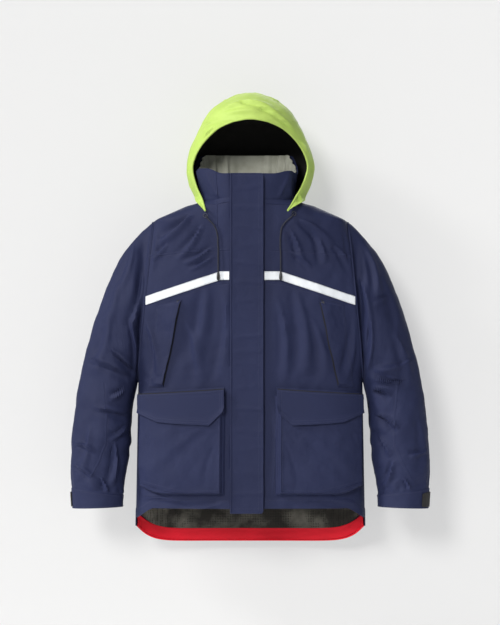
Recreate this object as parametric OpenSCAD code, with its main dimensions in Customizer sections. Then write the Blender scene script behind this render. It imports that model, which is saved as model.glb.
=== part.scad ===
/* [Torso] */
// Half width of the body at the hem
hem_half_width = 288; // [270:1:300]
// Half width of the body at the armpit
armpit_half_width = 281; // [270:1:290]
// Half width where the shoulder meets the sleeve
shoulder_half_width = 240; // [225:1:250]
// Front face of the body, ahead of the hanger loop
front_y = -150; // [-160:1:-140]
// Height of the front hem, below the hanger loop
front_hem_z = -780; // [-790:1:-770]
// Height of the back hem at its centre
back_hem_z = -850; // [-870:1:-830]
// Height of the seam between yoke and front panels
yoke_seam_z = -128; // [-140:1:-115]
// Thickness of the outer fabric as a plain solid
shell_t = 3; // [2:0.5:4]
// Depth of the sleeve opening, front to back, halved
armhole_half_depth = 70; // [60:1:80]

/* [Collar] */
// Height of the collar's front edge
collar_front_z = 64; // [55:1:75]
// Height of the collar at the back of the neck
collar_back_z = 114; // [100:1:120]
// Half width of the collar at its base
collar_base_half_width = 108; // [104:1:110]
// Half width of the collar at its top
collar_top_half_width = 122; // [115:1:124]
// Thickness of the fleece inside the collar
fleece_t = 4; // [3:0.5:5]

/* [Hood] */
// Height of the hood above the hanger loop
hood_top_z = 270; // [260:1:280]
// Greatest half width of the hood
hood_half_width = 161; // [155:1:165]
// Thickness of the hood's lining
hood_lining_t = 2; // [1:0.5:3]

/* [Storm flap and zip] */
// Where the storm flap is sewn on
flap_sewn_x = -45; // [-50:1:-40]
// Free edge of the storm flap
flap_free_x = 32; // [28:1:36]
// Thickness of the storm flap
flap_t = 3; // [2:0.5:4]
// Width of the gap that the zip fills
zip_gap = 16; // [14:1:20]
// Width across the zip's teeth
zip_teeth_w = 8; // [6:1:10]

/* [Pockets] */
// Inner edge of a cargo pocket
cargo_in_x = 69; // [65:1:75]
// Outer edge of a cargo pocket
cargo_out_x = 270; // [260:1:272]
// Bottom of a cargo pocket
cargo_bottom_z = -733; // [-740:1:-725]
// How far a cargo pocket stands out
cargo_depth = 15; // [12:1:18]
// Drop of a cargo pocket's flap
cargo_flap_drop = 86; // [80:1:92]
// Thickness of a cargo pocket's flap
cargo_flap_t = 2.5; // [2:0.5:3]

/* [Sleeves] */
// Height of a cuff
cuff_h = 50; // [45:1:55]
// How far the adjuster tab wraps round the cuff, in degrees
tab_wrap = 100; // [80:5:110]
// How far the tab's grip reaches round the front, in degrees
grip_wrap = 46; // [30:1:46]

/* [Trim] */
// Height of the reflective band
band_h = 21; // [18:1:25]
// Diameter of the hood's drawcord
cord_d = 3.5; // [3:0.5:4]
// Width of the hanger loop
loop_w = 44; // [40:1:60]

/* [Hidden] */
$fn = 48;

navy = "#34395c";
lime = "#c3ea5c";
black = "#111113";
fleece_grey = "#b5b6b0";
band_white = "#f0f3f5";
hem_red = "#b01428";
mesh_grey = "#3c3a34";

// Squareness of the body's section: 2 is an ellipse, more is squarer
squareness = 3;
// Clear space between pieces that lie on each other
gap = 1;
// Half the space left between the front and the back at the side seams
seam_gap = 0.3;
// Top and bottom ends of the armhole seam
armhole_top_z = -52;
armhole_low_z = -455;

// Half width against height: neck, shoulder slope, armhole, side seam
side_profile = [
    [back_hem_z, hem_half_width], [armhole_low_z, armpit_half_width],
    [armhole_top_z, shoulder_half_width], [-46, 231], [-15, 160], [-8, 134], [0, 112]
];
// Back of the body against height
back_profile = [[back_hem_z, 30], [-450, 34], [-200, 36], [-46, 24], [0, 14]];
// How far an inward offset also moves down, which only the shoulder slope needs
drop_profile = [[-110, 0], [-46, 0.8], [0, 0.8]];
// Rows of the body's grid, from the neck down to the armpit and the hem
yoke_rows = [0, -8, -15, -30, -46, -52, -70, -95, yoke_seam_z];
body_rows = [yoke_seam_z, -175, -230, -290, -350, -400, -435, armhole_low_z, -540, -640, -730];

function mix(a, b, t) = a + (b - a) * t;
function arm_ratio(z) = (2 * z - armhole_top_z - armhole_low_z) / (armhole_top_z - armhole_low_z);
function armhole_depth(z) = armhole_half_depth * sqrt(max(0, 1 - pow(arm_ratio(z), 2)));
function back_y(z) = lookup(z, back_profile);
function half_depth(z) = (back_y(z) - front_y) / 2;
function mid_y(z) = (back_y(z) + front_y) / 2;
function side_x(z) = lookup(z, side_profile);
// Half width of the section that passes through the edge of the armhole
function half_width(z) =
    side_x(z) / pow(1 - pow(armhole_depth(z) / half_depth(z), squareness), 1 / squareness);
// A point of the body: face is -1 on the front and 1 on the back, off is inward
function body_point(x, z, face, off) =
    let (w = half_width(z), f = pow(max(0, 1 - pow(min(1, abs(x) / w), squareness)), 1 / squareness))
    [x * (1 - off / w), mid_y(z) + face * ((half_depth(z) - off) * f + seam_gap), z - off * lookup(z, drop_profile)];
// The back hem is cut lower than the front, with a curve up to the side seams
function back_hem(x) = back_hem_z + 52 * pow(min(1, abs(x) / hem_half_width), 5);
// The front hem dips a little at the side seams
function front_hem(x) = front_hem_z - 13 * pow(min(1, abs(x) / hem_half_width), 8);

// A closed solid between two grids of points with the same rows and columns
module sheet(outer, inner) {
    rows = len(outer);
    cols = len(outer[0]);
    n = rows * cols;
    points = concat([for (r = outer) each r], [for (r = inner) each r]);
    function at(r, c) = r * cols + c;
    faces = concat(
        [for (r = [0:rows - 2], c = [0:cols - 2])
            each [[at(r, c), at(r, c + 1), at(r + 1, c)], [at(r, c + 1), at(r + 1, c + 1), at(r + 1, c)]]],
        [for (r = [0:rows - 2], c = [0:cols - 2])
            each [[n + at(r, c), n + at(r + 1, c), n + at(r, c + 1)],
                  [n + at(r, c + 1), n + at(r + 1, c), n + at(r + 1, c + 1)]]],
        [for (c = [0:cols - 2]) each [
            [at(0, c), n + at(0, c), at(0, c + 1)], [at(0, c + 1), n + at(0, c), n + at(0, c + 1)],
            [at(rows - 1, c), at(rows - 1, c + 1), n + at(rows - 1, c)],
            [at(rows - 1, c + 1), n + at(rows - 1, c + 1), n + at(rows - 1, c)]]],
        [for (r = [0:rows - 2]) each [
            [at(r, 0), at(r + 1, 0), n + at(r, 0)], [at(r + 1, 0), n + at(r + 1, 0), n + at(r, 0)],
            [at(r, cols - 1), n + at(r, cols - 1), at(r + 1, cols - 1)],
            [at(r + 1, cols - 1), n + at(r, cols - 1), n + at(r + 1, cols - 1)]]]
    );
    polyhedron(points, faces, convexity = 6);
}

// A closed tube between two grids whose columns run all the way round
module sleeve_tube(outer, inner) {
    rows = len(outer);
    cols = len(outer[0]);
    n = rows * cols;
    points = concat([for (r = outer) each r], [for (r = inner) each r]);
    function at(r, c) = r * cols + c % cols;
    faces = concat(
        [for (r = [0:rows - 2], c = [0:cols - 1])
            each [[at(r, c), at(r, c + 1), at(r + 1, c)], [at(r, c + 1), at(r + 1, c + 1), at(r + 1, c)]]],
        [for (r = [0:rows - 2], c = [0:cols - 1])
            each [[n + at(r, c), n + at(r + 1, c), n + at(r, c + 1)],
                  [n + at(r, c + 1), n + at(r + 1, c), n + at(r + 1, c + 1)]]],
        [for (c = [0:cols - 1]) each [
            [at(0, c), n + at(0, c), at(0, c + 1)], [at(0, c + 1), n + at(0, c), n + at(0, c + 1)],
            [at(rows - 1, c), at(rows - 1, c + 1), n + at(rows - 1, c)],
            [at(rows - 1, c + 1), n + at(rows - 1, c + 1), n + at(rows - 1, c)]]]
    );
    polyhedron(points, faces, convexity = 6);
}

// The same piece on the right, or mirrored to the left
module on_side(side) {
    mirror([side < 0 ? 1 : 0, 0, 0]) children();
}

// Half of the front, between its rows, from x0 to the side seam or the armhole
module front_patch(side, rows, x0, off_out, off_in, hem = false) {
    steps = 9;
    function x_at(z, c) = mix(x0, side_x(z), sin(90 * c / steps));
    function row(z, off) = [for (c = [0:steps]) body_point(x_at(z, c), z, -1, off)];
    function hem_row(off) = [for (c = [0:steps])
        let (x = x_at(front_hem_z, c), p = body_point(x, front_hem_z, -1, off)) [p[0], p[1], front_hem(x)]];
    outer = concat([for (z = rows) row(z, off_out)], hem ? [hem_row(off_out)] : []);
    inner = concat([for (z = rows) row(z, off_in)], hem ? [hem_row(off_in)] : []);
    on_side(side) sheet(outer, inner);
}

// The whole width of the back between two sets of rows, ending at a raised hem line
module back_patch(rows, off_out, off_in, hem_lift) {
    steps = 18;
    function x_at(z, c) = side_x(z) * sin(90 - 180 * c / steps);
    function row(z, off) = [for (c = [0:steps]) body_point(x_at(z, c), z, 1, off)];
    function hem_row(off) = [for (c = [0:steps])
        let (z = back_hem_z + 30, p = body_point(x_at(z, c), z, 1, off))
        [p[0], p[1], back_hem(x_at(z, c)) + hem_lift]];
    sheet(
        concat([for (z = rows) row(z, off_out)], [hem_row(off_out)]),
        concat([for (z = rows) row(z, off_in)], [hem_row(off_in)])
    );
}

module front_panel_left() {
    color(navy) front_patch(-1, body_rows, zip_gap / 2, 0, shell_t, true);
}

module front_panel_right() {
    color(navy) front_patch(1, body_rows, zip_gap / 2, 0, shell_t, true);
}

module yoke_left() {
    color(navy) front_patch(-1, yoke_rows, zip_gap / 2, 0, shell_t);
}

module yoke_right() {
    color(navy) front_patch(1, yoke_rows, zip_gap / 2, 0, shell_t);
}

module back_panel() {
    rows = concat(yoke_rows, [for (i = [1:len(body_rows) - 1]) body_rows[i]]);
    color(navy) back_patch(rows, 0, shell_t, 0);
}

// Linings lie inside the shell, clear of it
lining_off = shell_t + 9;
lining_t = 2;
lining_rows = [-20, -30, -46, -52, -70, -95, yoke_seam_z, -230, -350, armhole_low_z, -640, -730];

module mesh_lining_back() {
    color(mesh_grey) back_patch(lining_rows, lining_off, lining_off + lining_t, facing_h + 4);
}

module mesh_lining_left() {
    rows = concat(lining_rows, [-765]);
    color(mesh_grey) front_patch(-1, rows, zip_gap + 12, lining_off, lining_off + lining_t);
}

module mesh_lining_right() {
    rows = concat(lining_rows, [-765]);
    color(mesh_grey) front_patch(1, rows, zip_gap + 12, lining_off, lining_off + lining_t);
}

// Red strip that faces the inside of the back hem
facing_h = 31;

module hem_facing() {
    steps = 18;
    off = shell_t + 2 * gap;
    function edge(lift, o) = [for (c = [0:steps])
        let (z = back_hem_z + 30, x = side_x(z) * sin(90 - 180 * c / steps) * 0.985,
             p = body_point(x, z, 1, o)) [p[0], p[1], back_hem(x) + lift]];
    color(hem_red) sheet([edge(facing_h, off), edge(1, off)], [edge(facing_h, off + 2), edge(1, off + 2)]);
}

// Collar: one open ring that stands on the neck edge
function collar_top(a) = mix(collar_front_z, collar_back_z, pow(sin(a / 2), 4));
function collar_point(a, t, off) =
    let (w = mix(collar_base_half_width, collar_top_half_width, t) - off, d = 81 - off,
         s = sin(a), c = cos(a))
    [w * sign(s) * pow(abs(s), 0.75), front_y + 81 - d * sign(c) * pow(abs(c), 0.75),
     mix(1, collar_top(a), t)];

module collar_patch(off_out, off_in, t_top, first) {
    steps = 30;
    function angle(c) = mix(first, 360 - first, c / steps);
    function row(t, off) = [for (c = [0:steps]) collar_point(angle(c), t, off)];
    sheet([for (i = [0:4]) row(t_top * (1 - i / 4), off_out)], [for (i = [0:4]) row(t_top * (1 - i / 4), off_in)]);
}

module collar_shell() {
    color(navy) collar_patch(0, shell_t, 1, 3.2);
}

module collar_fleece() {
    color(fleece_grey) collar_patch(shell_t + 0.5, shell_t + 0.5 + fleece_t, 0.985, 5.5);
}

// Loop that the jacket hangs by; its underside at the top is the origin
module hanger_loop() {
    strap = 2;
    r = loop_w / 2;
    color(navy) rotate([90, 0, 0]) translate([0, 0, -3]) linear_extrude(6) {
        difference() {
            translate([0, -r]) circle(r + strap);
            translate([0, -r]) circle(r);
            translate([-loop_w, -3 * r]) square([2 * loop_w, 2 * r]);
        }
        translate([r, -r - 14]) square([strap, 14.5]);
        translate([-r - strap, -r - 14]) square([strap, 14.5]);
    }
}

// Hood: rings round the head, open at the front below the brim
// Each row: height, half width, front and back of the ring, angle where the opening's edge is
hood_rows = [
    [-30, 139, -211, 24, 125], [0, 140, -182, 38, 117], [40, 153, -168, 56, 111],
    [85, hood_half_width, -160, 68, 110], [130, 151, -158, 70, 119], [170, 133, -160, 62, 135],
    [190, 122, -163, 53, 154], [200, 117, -164, 48, 180], [225, 99, -155, 28, 180],
    [248, 68, -130, -4, 180], [hood_top_z - 6, 34, -98, -32, 180], [hood_top_z, 10, -75, -52, 180]
];
hood_cols = 32;
hood_first_closed = 7;

// The lowest ring is bent up so that only its two front corners reach down
function hood_lift(row, u) = row == 0 ? 34 * (1 - pow(u, 6)) : row == 1 ? 12 * (1 - pow(u, 6)) : 0;
function hood_point(row, c, off) =
    let (k = hood_rows[row], u = 1 - 2 * c / hood_cols, a = u * k[4], w = k[1] - off,
         d = (k[3] - k[2]) / 2 - off, m = (k[3] + k[2]) / 2, top = row > 8 ? off : row == 8 ? off / 2 : 0)
    [w * sin(a), m + d * cos(a), k[0] + hood_lift(row, u) - top];

module hood_body(off_out, off_in) {
    rows = len(hood_rows);
    cols = hood_cols + 1;
    n = rows * cols;
    function at(r, c) = r * cols + (r >= hood_first_closed && c == hood_cols ? 0 : c);
    points = concat(
        [for (r = [0:rows - 1], c = [0:hood_cols]) hood_point(r, c, off_out)],
        [for (r = [0:rows - 1], c = [0:hood_cols]) hood_point(r, c, off_in)]
    );
    faces = concat(
        [for (r = [0:rows - 2], c = [0:hood_cols / 2 - 1])
            each [[at(r, c), at(r + 1, c), at(r, c + 1)], [at(r, c + 1), at(r + 1, c), at(r + 1, c + 1)]]],
        [for (r = [0:rows - 2], c = [hood_cols / 2:hood_cols - 1])
            each [[at(r, c), at(r + 1, c), at(r + 1, c + 1)], [at(r, c), at(r + 1, c + 1), at(r, c + 1)]]],
        [for (r = [0:rows - 2], c = [0:hood_cols / 2 - 1])
            each [[n + at(r, c), n + at(r, c + 1), n + at(r + 1, c)],
                  [n + at(r, c + 1), n + at(r + 1, c + 1), n + at(r + 1, c)]]],
        [for (r = [0:rows - 2], c = [hood_cols / 2:hood_cols - 1])
            each [[n + at(r, c), n + at(r + 1, c + 1), n + at(r + 1, c)],
                  [n + at(r, c), n + at(r, c + 1), n + at(r + 1, c + 1)]]],
        [for (c = [0:hood_cols - 1]) each [
            [at(0, c), at(0, c + 1), n + at(0, c)], [at(0, c + 1), n + at(0, c + 1), n + at(0, c)]]],
        [for (r = [0:hood_first_closed - 1]) each [
            [at(r, 0), n + at(r, 0), at(r + 1, 0)], [at(r + 1, 0), n + at(r, 0), n + at(r + 1, 0)],
            [at(r, hood_cols), at(r + 1, hood_cols), n + at(r, hood_cols)],
            [at(r + 1, hood_cols), n + at(r + 1, hood_cols), n + at(r, hood_cols)]]],
        [for (c = [1:hood_cols - 2]) [at(rows - 1, 0), at(rows - 1, c + 1), at(rows - 1, c)]],
        [for (c = [1:hood_cols - 2]) [n + at(rows - 1, 0), n + at(rows - 1, c), n + at(rows - 1, c + 1)]]
    );
    polyhedron(points, faces, convexity = 6);
}

module hood_shell() {
    color(lime) hood_body(0, 3);
}

module hood_lining() {
    color(black) hood_body(3.4, 3.4 + hood_lining_t);
}

// Stiffened edge of the hood's peak, a curved strip ahead of the opening's top
module hood_brim() {
    steps = 16;
    function edge(ahead, z, off) = [for (c = [0:steps])
        let (a = mix(-52, 52, c / steps)) [(119 - off) * sin(a), -58 - (107 - off + ahead) * cos(a), z - 26 * pow(abs(a) / 52, 2)]];
    color(lime) sheet([edge(2.6, 204, 0), edge(9, 197, 0)], [edge(2.6, 201, 0), edge(9, 194.5, 0)]);
}

// Storm flap: a flat strip, hinged at its sewn edge
flap_top_z = 63;
flap_bottom_z = -784;
flap_back_y = front_y - 6.5;

module storm_flap() {
    w = flap_free_x - flap_sewn_x;
    h = flap_top_z - flap_bottom_z;
    r = 6;
    color(navy) translate([flap_sewn_x, flap_back_y, flap_bottom_z]) rotate([90, 0, 0]) linear_extrude(flap_t) {
        union() {
            square([w - r, h]);
            translate([w - r - 0.01, r]) square([r + 0.01, h - 2 * r]);
            translate([w - r, r]) circle(r);
            translate([w - r, h - r]) circle(r);
        }
    }
}

module storm_flap_seam() {
    h = flap_top_z - flap_bottom_z;
    color(navy) translate([flap_sewn_x - 5.5, flap_back_y - flap_t, flap_bottom_z]) cube([5, 8, h]);
}

// Fastening patches down the storm flap: hook on the flap, loop on the right front
patch_z = [30, -113, -297, -410, -520, -620, -730];
patch_w = 16;
patch_h = 46;

module flap_hook_patches() {
    color(black) for (z = patch_z)
        translate([flap_free_x - patch_w - 5, flap_back_y, z - patch_h / 2]) cube([patch_w, 1.2, patch_h]);
}

module flap_loop_patches() {
    color(black) for (z = patch_z)
        translate([flap_free_x - patch_w - 5, front_y - 1.5, z - patch_h / 2]) cube([patch_w, 1, patch_h]);
}

// Zip: tapes behind the panels' edges, teeth in the gap, a two-plate slider
zip_top_z = 58;
zip_bottom_z = -774;
zip_h = zip_top_z - zip_bottom_z;

module zip_tape(side) {
    x0 = side > 0 ? 1 : -15;
    color(black) translate([x0, front_y + shell_t + 1, zip_bottom_z]) cube([14, 1, zip_h]);
}

module zip_tape_left() zip_tape(-1);
module zip_tape_right() zip_tape(1);

module zip_teeth(side) {
    x0 = side > 0 ? 0.1 : -zip_teeth_w / 2 - 0.1;
    color(black) translate([x0, front_y + 1.4, zip_bottom_z]) cube([zip_teeth_w / 2, 2.4, zip_h]);
}

module zip_teeth_left() zip_teeth(-1);
module zip_teeth_right() zip_teeth(1);

module zip_stops() {
    color("silver") for (z = [zip_bottom_z - 5, zip_top_z + 0.5])
        translate([-5, front_y + 1.2, z]) cube([10, 3, 4]);
}

module zip_slider() {
    color("dimgray") {
        translate([0, front_y + 0.9, zip_top_z - 18]) rotate([90, 0, 0]) linear_extrude(1.6) circle(6.5);
        translate([-6, front_y - 0.7, zip_top_z - 14]) cube([12, 1.6, 12]);
        translate([-6, front_y + shell_t + 2.6, zip_top_z - 24]) cube([12, 1.2, 22]);
    }
}

module zip_puller() {
    color(black) translate([0, front_y - 1.9, zip_top_z - 20]) rotate([90, 0, 0]) linear_extrude(1.5) {
        difference() {
            union() {
                circle(4.5);
                translate([-3.5, -32]) square([7, 32]);
                translate([0, -32]) circle(3.5);
            }
            circle(1.8);
        }
    }
}

module zip_guard() {
    color(navy) translate([-26, front_y + 9.5, zip_bottom_z]) cube([52, 2, zip_h - 8]);
}

// Reflective band: slopes down from the flap's edge to the armhole
function band_top(x) = abs(x) < 74 ? -179 : -179 - (abs(x) - 74) * 0.335;

module band_patch(side, x0) {
    steps = 10;
    function x_end(z) = side_x(z) - 1.5;
    function row(drop, off) = [for (c = [0:steps])
        let (x = mix(x0, x_end(band_top(262) - drop), c / steps), z = band_top(x) - drop)
        body_point(x, z, -1, off)];
    rows_out = [for (i = [0:1]) row(i * band_h, -2.2)];
    rows_in = [for (i = [0:1]) row(i * band_h, -gap)];
    color(band_white) on_side(side) sheet(rows_out, rows_in);
}

module reflective_band_left() band_patch(-1, 51.5);
module reflective_band_right() band_patch(1, 34);

// Chest pocket: a slanted zip under a facing that overlaps it
slit_top = [169, -250];
slit_low = [215, -466];
facing_top = [232, -262];
facing_low = [253, -466];
zip_out = 2;
slider_out = 6.2;
facing_out = 9.4;

// A strip on the front between two slanted lines, each given by its top and its foot
module slanted_patch(side, top_a, low_a, top_b, low_b, off_out, off_in) {
    function spot(r, c) = mix(mix(top_a, low_a, r / 5), mix(top_b, low_b, r / 5), c / 3);
    function grid(off) = [for (r = [0:5]) [for (c = [0:3])
        let (p = spot(r, c)) body_point(p[0], p[1], -1, off)]];
    on_side(side) sheet(grid(off_out), grid(off_in));
}

module chest_facing(side) {
    color(navy) slanted_patch(side, slit_top, slit_low, facing_top, facing_low, -facing_out, -facing_out + 1.4);
}

module chest_facing_left() chest_facing(-1);
module chest_facing_right() chest_facing(1);

module chest_zip(side) {
    shift = [9, 0];
    color(black)
        slanted_patch(side, slit_top + [2, 0], slit_low + [2, 0], slit_top + shift, slit_low + shift, -zip_out, -gap);
}

module chest_zip_left() chest_zip(-1);
module chest_zip_right() chest_zip(1);

// The slider stands on the zip near its top, with its plate along the slit
module chest_slider(side) {
    p = body_point(slit_top[0] + 8, slit_top[1] - 12, -1, -slider_out);
    q = body_point(slit_low[0] + 8, slit_low[1], -1, -slider_out);
    tilt = atan2(q[0] - p[0], p[2] - q[2]);
    color("dimgray") on_side(side) translate(p) rotate([0, -tilt, 0]) translate([-4, -0.5, -8]) cube([8, 1, 16]);
}

module chest_slider_left() chest_slider(-1);
module chest_slider_right() chest_slider(1);

// Cargo pocket: front wall, gusset sides and floor, open at the top
cargo_top_z = -488;

module front_block(side, x0, x1, z0, z1, off_out, off_in) {
    steps = 8;
    rows = 4;
    function row(z, off) = [for (c = [0:steps])
        body_point(mix(x0, x1, sin(90 * c / steps)), z, -1, off)];
    function grid(off) = [for (r = [0:rows]) row(mix(z1, z0, r / rows), off)];
    on_side(side) sheet(grid(off_out), grid(off_in));
}

module cargo_pocket(side) {
    wall = 2;
    color(navy) difference() {
        front_block(side, cargo_in_x, cargo_out_x, cargo_bottom_z, cargo_top_z, -cargo_depth, -gap);
        front_block(side, cargo_in_x + wall, cargo_out_x - wall, cargo_bottom_z + wall, cargo_top_z + 10,
            -cargo_depth + wall, 2);
    }
}

module cargo_pocket_left() cargo_pocket(-1);
module cargo_pocket_right() cargo_pocket(1);

module cargo_header(side) {
    color(navy) front_block(side, cargo_in_x - 4, cargo_out_x - 8, -480, -469, -cargo_depth + 1, -gap);
}

module cargo_header_left() cargo_header(-1);
module cargo_header_right() cargo_header(1);

// Cargo flap: a flat board along the chord of the pocket, with cut lower corners
cargo_flap_top_z = -470;
cargo_flap_x = 62;
cargo_flap_y = front_y - 22;
cargo_flap_w = 212;
cargo_flap_turn = 6.5;

module cargo_flap(side) {
    outline = [
        [0, 0], [cargo_flap_w, -9], [cargo_flap_w, -62], [cargo_flap_w - 38, -cargo_flap_drop + 2],
        [32, -cargo_flap_drop - 4], [4, -62]
    ];
    color(navy) on_side(side)
        translate([cargo_flap_x, cargo_flap_y, cargo_flap_top_z]) rotate([0, 0, cargo_flap_turn])
            rotate([90, 0, 0]) linear_extrude(cargo_flap_t) polygon(outline);
}

module cargo_flap_left() cargo_flap(-1);
module cargo_flap_right() cargo_flap(1);

// Hood drawcords: out of an eyelet under each front corner of the hood, then straight down
cord_left_route = [
    [-112, -149, -40], [-110, -151.5, -43], [-106, -153, -48], [-101, -154, -53], [-96, -154.5, -58],
    [-91, -155, -64], [-87, -155, -71], [-84, -155, -79], [-82, -155, -88], [-81, -155.5, -98],
    [-81, -155.5, -109], [-80, -156, -121], [-80, -156, -133], [-80, -156.5, -145], [-80, -156.5, -157],
    [-80, -157, -169], [-80, -157, -181]
];
cord_right_route = [
    [108, -149, -36], [106, -151.5, -39], [101, -153, -44], [95, -154, -49], [89, -154.5, -54],
    [84, -155, -60], [79, -155, -67], [76, -155, -76], [75, -155, -86], [74, -155.5, -97],
    [74, -155.5, -109], [74, -156, -121], [75, -156, -133], [75, -156.5, -145], [75, -156.5, -157],
    [75, -157, -169], [75, -157, -181]
];

function unit(v) = v / norm(v);
// Tube of eight sides swept along a route, each ring square to the route
module cord_tube(route, d) {
    sides = 8;
    n = len(route);
    function ahead(i) = unit(route[min(n - 1, i + 1)] - route[max(0, i - 1)]);
    function ring(i) =
        let (t = ahead(i), u = unit(cross([0, 1, 0], t)), v = cross(t, u))
        [for (k = [0:sides - 1]) route[i] + d / 2 * (cos(45 * k) * u + sin(45 * k) * v)];
    points = [for (i = [0:n - 1]) each ring(i)];
    faces = concat(
        [[for (k = [0:sides - 1]) k]],
        [[for (k = [sides - 1:-1:0]) (n - 1) * sides + k]],
        [for (i = [0:n - 2], k = [0:sides - 1])
            [i * sides + k, (i + 1) * sides + k, (i + 1) * sides + (k + 1) % sides, i * sides + (k + 1) % sides]]
    );
    polyhedron(points, faces, convexity = 4);
}

module drawcord_left() {
    color(black) cord_tube(cord_left_route, cord_d);
}

module drawcord_right() {
    color(black) cord_tube(cord_right_route, cord_d);
}

module cord_end(foot) {
    color(black) translate(foot) rotate_extrude() polygon([
        [0, 0], [2.2, 0], [3.2, -5], [3.9, -12], [3.6, -17], [2, -20], [0, -20.5]
    ]);
}

module cord_end_left() cord_end(cord_left_route[16]);
module cord_end_right() cord_end(cord_right_route[16]);

module cord_eyelets() {
    color("dimgray") for (p = [cord_left_route[0], cord_right_route[0]])
        translate([p[0], p[1] + 0.6, p[2]]) rotate([90, 0, 0]) difference() {
            cylinder(h = 1.6, r = 5.6);
            translate([0, 0, -1]) cylinder(h = 4, r = 4.6);
        }
}

// Sleeve: rings that fan out round the armpit, from the armhole to the cuff
// Each row: outer end x and z, inner end x and z, centre y, half depth
sleeve_rings = [
    [shoulder_half_width + 1, armhole_top_z, armpit_half_width + 1, armhole_low_z, -57, armhole_half_depth],
    [290, -97, 285.5, -472, -58, 70],
    [333, -158, 290, -492, -60, 69],
    [366, -232, 294, -518, -62, 67],
    [393, -312, 297, -550, -65, 65],
    [417, -400, 299, -588, -68, 62],
    [435, -490, 302, -628, -72, 59],
    [445, -580, 308, -668, -76, 56],
    [448, -660, 314, -706, -80, 53],
    [447, -770 + cuff_h, 318, -768 + cuff_h * 0.62, -82, 51],
    [444, -770, 320, -766, -84, 50]
];
swing_ring = 2;
sleeve_cols = 24;

function ring_at(s) =
    let (i = min(len(sleeve_rings) - 2, floor(s)))
    mix(sleeve_rings[i], sleeve_rings[i + 1], s - i);
// A point of the sleeve: a is 0 at the outer edge, 90 at the front, 180 at the inner edge
function sleeve_point(s, a, off) =
    let (k = ring_at(s), hx = (k[0] - k[2]) / 2, hz = (k[1] - k[3]) / 2, r = 1 - off / norm([hx, hz]))
    [(k[0] + k[2]) / 2 + hx * r * cos(a), k[4] - (k[5] - off) * sin(a), (k[1] + k[3]) / 2 + hz * r * cos(a)];

module sleeve_part(side, stations, off_out, off_in) {
    function row(s, off) = [for (c = [0:sleeve_cols - 1]) sleeve_point(s, -360 * c / sleeve_cols, off)];
    on_side(side)
        sleeve_tube([for (s = stations) row(s, off_out)], [for (s = stations) row(s, off_in)]);
}

module shoulder_left() {
    color(navy) sleeve_part(-1, [0, 1, swing_ring], 0, shell_t);
}

module shoulder_right() {
    color(navy) sleeve_part(1, [0, 1, swing_ring], 0, shell_t);
}

module sleeve_left() {
    color(navy) sleeve_part(-1, [swing_ring + 0.01, 3, 4, 5, 6, 7, 8, 9], 0, shell_t);
}

module sleeve_right() {
    color(navy) sleeve_part(1, [swing_ring + 0.01, 3, 4, 5, 6, 7, 8, 9], 0, shell_t);
}

module cuff_left() {
    color(navy) sleeve_part(-1, [9, 9.5, 10], 0, shell_t);
}

module cuff_right() {
    color(navy) sleeve_part(1, [9, 9.5, 10], 0, shell_t);
}

module inner_cuff(side) {
    color(black) sleeve_part(side, [8.2, 8.8, 9.4, 9.8], 12, 14.5);
}

module inner_cuff_left() inner_cuff(-1);
module inner_cuff_right() inner_cuff(1);

// Adjuster tab: from the back of the cuff round its outer edge, with a moulded grip at its end
module tab_patch(side, from_a, to_a) {
    steps = 8;
    function row(s, off) = [for (c = [0:steps]) sleeve_point(s, mix(from_a, to_a, c / steps), off)];
    on_side(side)
        sheet([for (s = [9.18, 9.92]) row(s, -gap)], [for (s = [9.18, 9.92]) row(s, -3.4)]);
}

module cuff_tab_left() {
    color(navy) tab_patch(-1, -tab_wrap, 0);
}

module cuff_tab_right() {
    color(navy) tab_patch(1, -tab_wrap, 0);
}

module tab_grip_left() {
    color(black) tab_patch(-1, 0, grip_wrap);
}

module tab_grip_right() {
    color(black) tab_patch(1, 0, grip_wrap);
}

front_panel_left();
front_panel_right();
yoke_left();
yoke_right();
back_panel();
mesh_lining_back();
mesh_lining_left();
mesh_lining_right();
hem_facing();
collar_shell();
collar_fleece();
hanger_loop();
hood_shell();
hood_lining();
hood_brim();
storm_flap();
storm_flap_seam();
flap_hook_patches();
flap_loop_patches();
zip_guard();
zip_tape_left();
zip_tape_right();
zip_teeth_left();
zip_teeth_right();
zip_stops();
zip_slider();
zip_puller();
reflective_band_left();
reflective_band_right();
chest_facing_left();
chest_facing_right();
chest_zip_left();
chest_zip_right();
chest_slider_left();
chest_slider_right();
cargo_pocket_left();
cargo_pocket_right();
cargo_header_left();
cargo_header_right();
cargo_flap_left();
cargo_flap_right();
cord_eyelets();
drawcord_left();
drawcord_right();
cord_end_left();
cord_end_right();
shoulder_left();
shoulder_right();
sleeve_left();
sleeve_right();
cuff_left();
cuff_right();
inner_cuff_left();
inner_cuff_right();
cuff_tab_left();
cuff_tab_right();
tab_grip_left();
tab_grip_right();
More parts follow.
